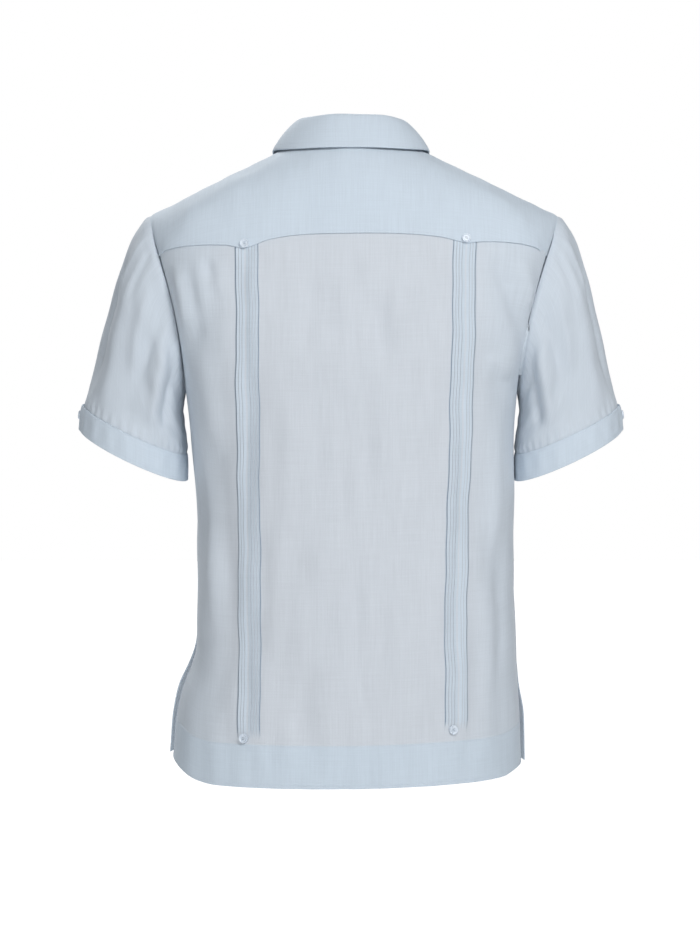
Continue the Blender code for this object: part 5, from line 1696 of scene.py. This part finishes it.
@dataclass
class FrontDetails(Piece):
    """The button band and the two chest pockets, which lie on a front."""

    fronts: dict[Side, FrontPanel] = field(default_factory=dict)
    band_half: float = 0.016
    band_proud: float = 0.0006
    pocket_wide: float = 0.118
    pocket_tall: float = 0.132
    pocket_top: float = -0.185
    pocket_proud: float = 0.0031
    pocket_sewn: float = 0.0013
    pocket_point: float = 0.014
    pocket_hem: float = 0.022

    def build_band(self) -> Sheet:
        """Make and dress the front band."""
        rows = spans((0.0, 0), (0.02, 3), (1.6, 129), (2.0, 30))[:, None]
        across = np.array([-1.0, -0.96, -0.88, -0.82, -0.78, -0.6, -0.4, -0.2, 0.0001,
                           0.2, 0.4, 0.6, 0.78, 0.82, 0.88, 0.96, 1.0])[None, :]
        x = across * self.band_half
        front = self.fronts[Side.LEFT]
        low, prior = np.minimum(rows, front.form_top), np.full((1, 1), front.form_top - 0.1)
        form = BODY.at(x, BODY.height(Face.FRONT, Side.LEFT, x, low), Face.FRONT)
        before = BODY.at(x, BODY.height(Face.FRONT, Side.LEFT, x, prior), Face.FRONT)
        above = rows[:, 0] > front.form_top
        upper = front.carry_on(rows[above], form[-1:], before, front.top(x))
        points = np.concatenate([form[~above], upper], axis=0)
        sheet = Sheet("linen_front_band", points, height_core(points), thick=0.0018)
        wave = 0.0004 * np.sin(points[..., 2] * 61.0) * (1.0 - across ** 2)
        sheet.rise = self.band_proud + wave
        sheet.layers[:] = 1.0
        for edge in (Edge.FIRST, Edge.LAST):
            self.sewing.row("stitches_band", *sheet.from_edge(edge, 0.0035))
        return self.settle(sheet, DOUBLE_LINEN, ["front_band"], (0.032, 0.69), 0.0220)

    def build_pocket(self, side: Side) -> Sheet:
        """Make and dress a chest pocket, whose middle carries the front's tucks on."""
        tucks, half = self.fronts[side].tucks, self.pocket_wide / 2
        off = np.concatenate([np.linspace(-half, -tucks.half, 20)[:-1], tucks.offsets(),
                              np.linspace(tucks.half, half, 20)[1:]])[None, :]
        share = spans((0.0, 0), (0.05, 3), (0.95, 39), (1.0, 3))[:, None]
        tall = self.pocket_tall - self.pocket_point * np.abs(off) / half
        down = tall * share
        z = self.pocket_top - down
        points = BODY.at(int(side) * (self.fronts[side].tuck_line + off) + 0.0 * z, z, Face.FRONT)
        name = SIDE_NAMES[side]
        sheet = Sheet("linen_pocket_" + name, points, height_core(points))
        sewn = np.minimum(half - np.abs(off), tall - down)
        under = tucks.height(np.broadcast_to(off, z.shape))
        proud = mix(self.pocket_sewn + under, self.pocket_proud, ease(sewn / 0.012))
        wave = 0.0005 * np.sin(off * 130.0 + 2.0) * np.sin(math.pi * share)
        sheet.rise = proud + wave + self.fronts[side].drape(points[..., 0], z)
        hem = ease((self.pocket_hem - down) / 0.0012)
        band = ease((down - self.pocket_hem) / 0.002)
        folded = under * band
        sheet.fold = folded + 0.0005 * hem
        sheet.layers = np.maximum(0.9 * hem, 0.9 * ease(folded / 2e-4))
        # Painted shade in the crevices beside the tucks.
        sheet.shade = tucks.shade(np.broadcast_to(off, z.shape)) * band
        for edge in (Edge.FIRST, Edge.LAST, Edge.TOP):
            self.sewing.row("stitches_pockets", *sheet.from_edge(edge, 0.0020))
        self.sewing.row("stitches_pockets", *sheet.from_edge(Edge.BOTTOM, self.pocket_hem - 0.002))
        return self.settle(sheet, SINGLE_LINEN, ["pocket_" + name], (0.130, 0.132), 0.0156)


# ---------------------------------------------------------------- studio


@dataclass
class Studio:
    """Pale floor, soft lights on both sides of the shirt, and the camera behind the wearer."""

    camera_place: Point = (0.0012, 3.2, -0.3618)
    lens: float = 36.0 * 3.2 / 0.84
    floor_height: float = -1.9
    floor_half: float = 40.0
    sky: float = 0.20
    sky_colour: Point = (0.96, 0.98, 1.0)
    floor_seen: float = 1.0
    floor_glow: float = 0.10
    lights: tuple[tuple[str, Point, Point, float, float], ...] = (
        ("key_back", (-1.3, 2.9, 1.9), (0.0, 0.1, -0.35), 1.2, 82.0),
        ("fill_back", (0.8, 3.5, -0.3), (0.0, 0.1, -0.35), 2.0, 31.0),
        ("key_front", (1.3, -2.9, 1.9), (0.0, -0.1, -0.35), 1.2, 82.0),
        ("fill_front", (-0.8, -3.5, -0.3), (0.0, -0.1, -0.35), 2.0, 31.0),
        ("top", (0.0, 0.0, 3.0), (0.0, 0.0, -0.35), 2.5, 10.0))

    def build(self) -> None:
        """Set up the floor, the world, the lights and the camera."""
        scene = bpy.context.scene
        scene.view_settings.view_transform = "Standard"
        self._floor()
        self._world(scene)
        for name, place, aim, size, power in self.lights:
            lamp = bpy.data.lights.new(name, "AREA")
            lamp.shape, lamp.size, lamp.energy = "DISK", size, power
            holder = bpy.data.objects.new(name, lamp)
            holder.location = place
            holder.rotation_euler = (Vector(aim) - Vector(place)).to_track_quat("-Z", "Y").to_euler()
            scene.collection.objects.link(holder)
        eye = bpy.data.cameras.new("camera")
        eye.lens, eye.sensor_width, eye.sensor_fit = self.lens, 36.0, "HORIZONTAL"
        camera = bpy.data.objects.new("camera", eye)
        camera.location = self.camera_place
        camera.rotation_euler = (math.pi / 2, 0.0, math.pi)
        scene.collection.objects.link(camera)
        scene.camera = camera

    def _floor(self) -> None:
        """A plain pale floor well below the shirt."""
        deselect()
        bpy.ops.mesh.primitive_plane_add(size=2 * self.floor_half, location=(0.0, 0.0, self.floor_height))
        floor = bpy.context.object
        floor.name = "studio_floor"
        material = bpy.data.materials.new("studio_floor")
        material.use_nodes = True
        shader = material.node_tree.nodes["Principled BSDF"]
        shader.inputs["Base Color"].default_value = (0.90, 0.91, 0.92, 1.0)
        shader.inputs["Roughness"].default_value = 0.9
        shader.inputs["Emission Color"].default_value = (1.0, 1.0, 1.0, 1.0)
        book = NodeBook(material.node_tree)
        rays = book.add("ShaderNodeLightPath")
        seen = book.maths("MULTIPLY", rays.outputs["Is Camera Ray"], self.floor_seen - self.floor_glow)
        book.link(book.maths("ADD", seen, self.floor_glow), shader.inputs["Emission Strength"])
        floor.data.materials.append(material)

    def _world(self, scene: bpy.types.Scene) -> None:
        """Soft light from all round, seen as plain white."""
        world = bpy.data.worlds.new("studio")
        world.use_nodes = True
        book = NodeBook(world.node_tree)
        around = world.node_tree.nodes["Background"]
        around.inputs["Color"].default_value = (*self.sky_colour, 1.0)
        around.inputs["Strength"].default_value = self.sky
        seen = book.add("ShaderNodeBackground")
        seen.inputs["Color"].default_value = (1.0, 1.0, 1.0, 1.0)
        rays, both = book.add("ShaderNodeLightPath"), book.add("ShaderNodeMixShader")
        book.link(rays.outputs["Is Camera Ray"], both.inputs[0])
        book.link(around.outputs[0], both.inputs[1])
        book.link(seen.outputs[0], both.inputs[2])
        book.link(both.outputs[0], world.node_tree.nodes["World Output"].inputs["Surface"])
        scene.world = world


def main() -> None:
    """Build the shirt piece by piece, then its stitches, buttons and studio."""
    logging.basicConfig(level=logging.INFO, format="%(message)s")
    finishes = Finishes()
    sewing = Sewing(finishes)
    BackPanel(finishes, sewing).build()
    fronts = {Side.LEFT: FrontPanel(finishes, sewing, side=Side.LEFT),
              Side.RIGHT: FrontPanel(finishes, sewing, side=Side.RIGHT, seed=47, shift=0.006)}
    for front in fronts.values():
        front.build()
    Yoke(finishes, sewing).build()
    collar = Collar(finishes, sewing)
    collar.build_stand()
    collar.build_fall()
    details = FrontDetails(finishes, sewing, fronts=fronts)
    details.build_band()
    for side in Side:
        sleeve = Sleeve(finishes, sewing, side=side)
        sleeve.build_sleeve()
        sleeve.build_cuff()
        details.build_pocket(side)
    Buttons(finishes).build(sewing)
    sewing.build()
    Studio().build()


if __name__ == "__main__":
    main()
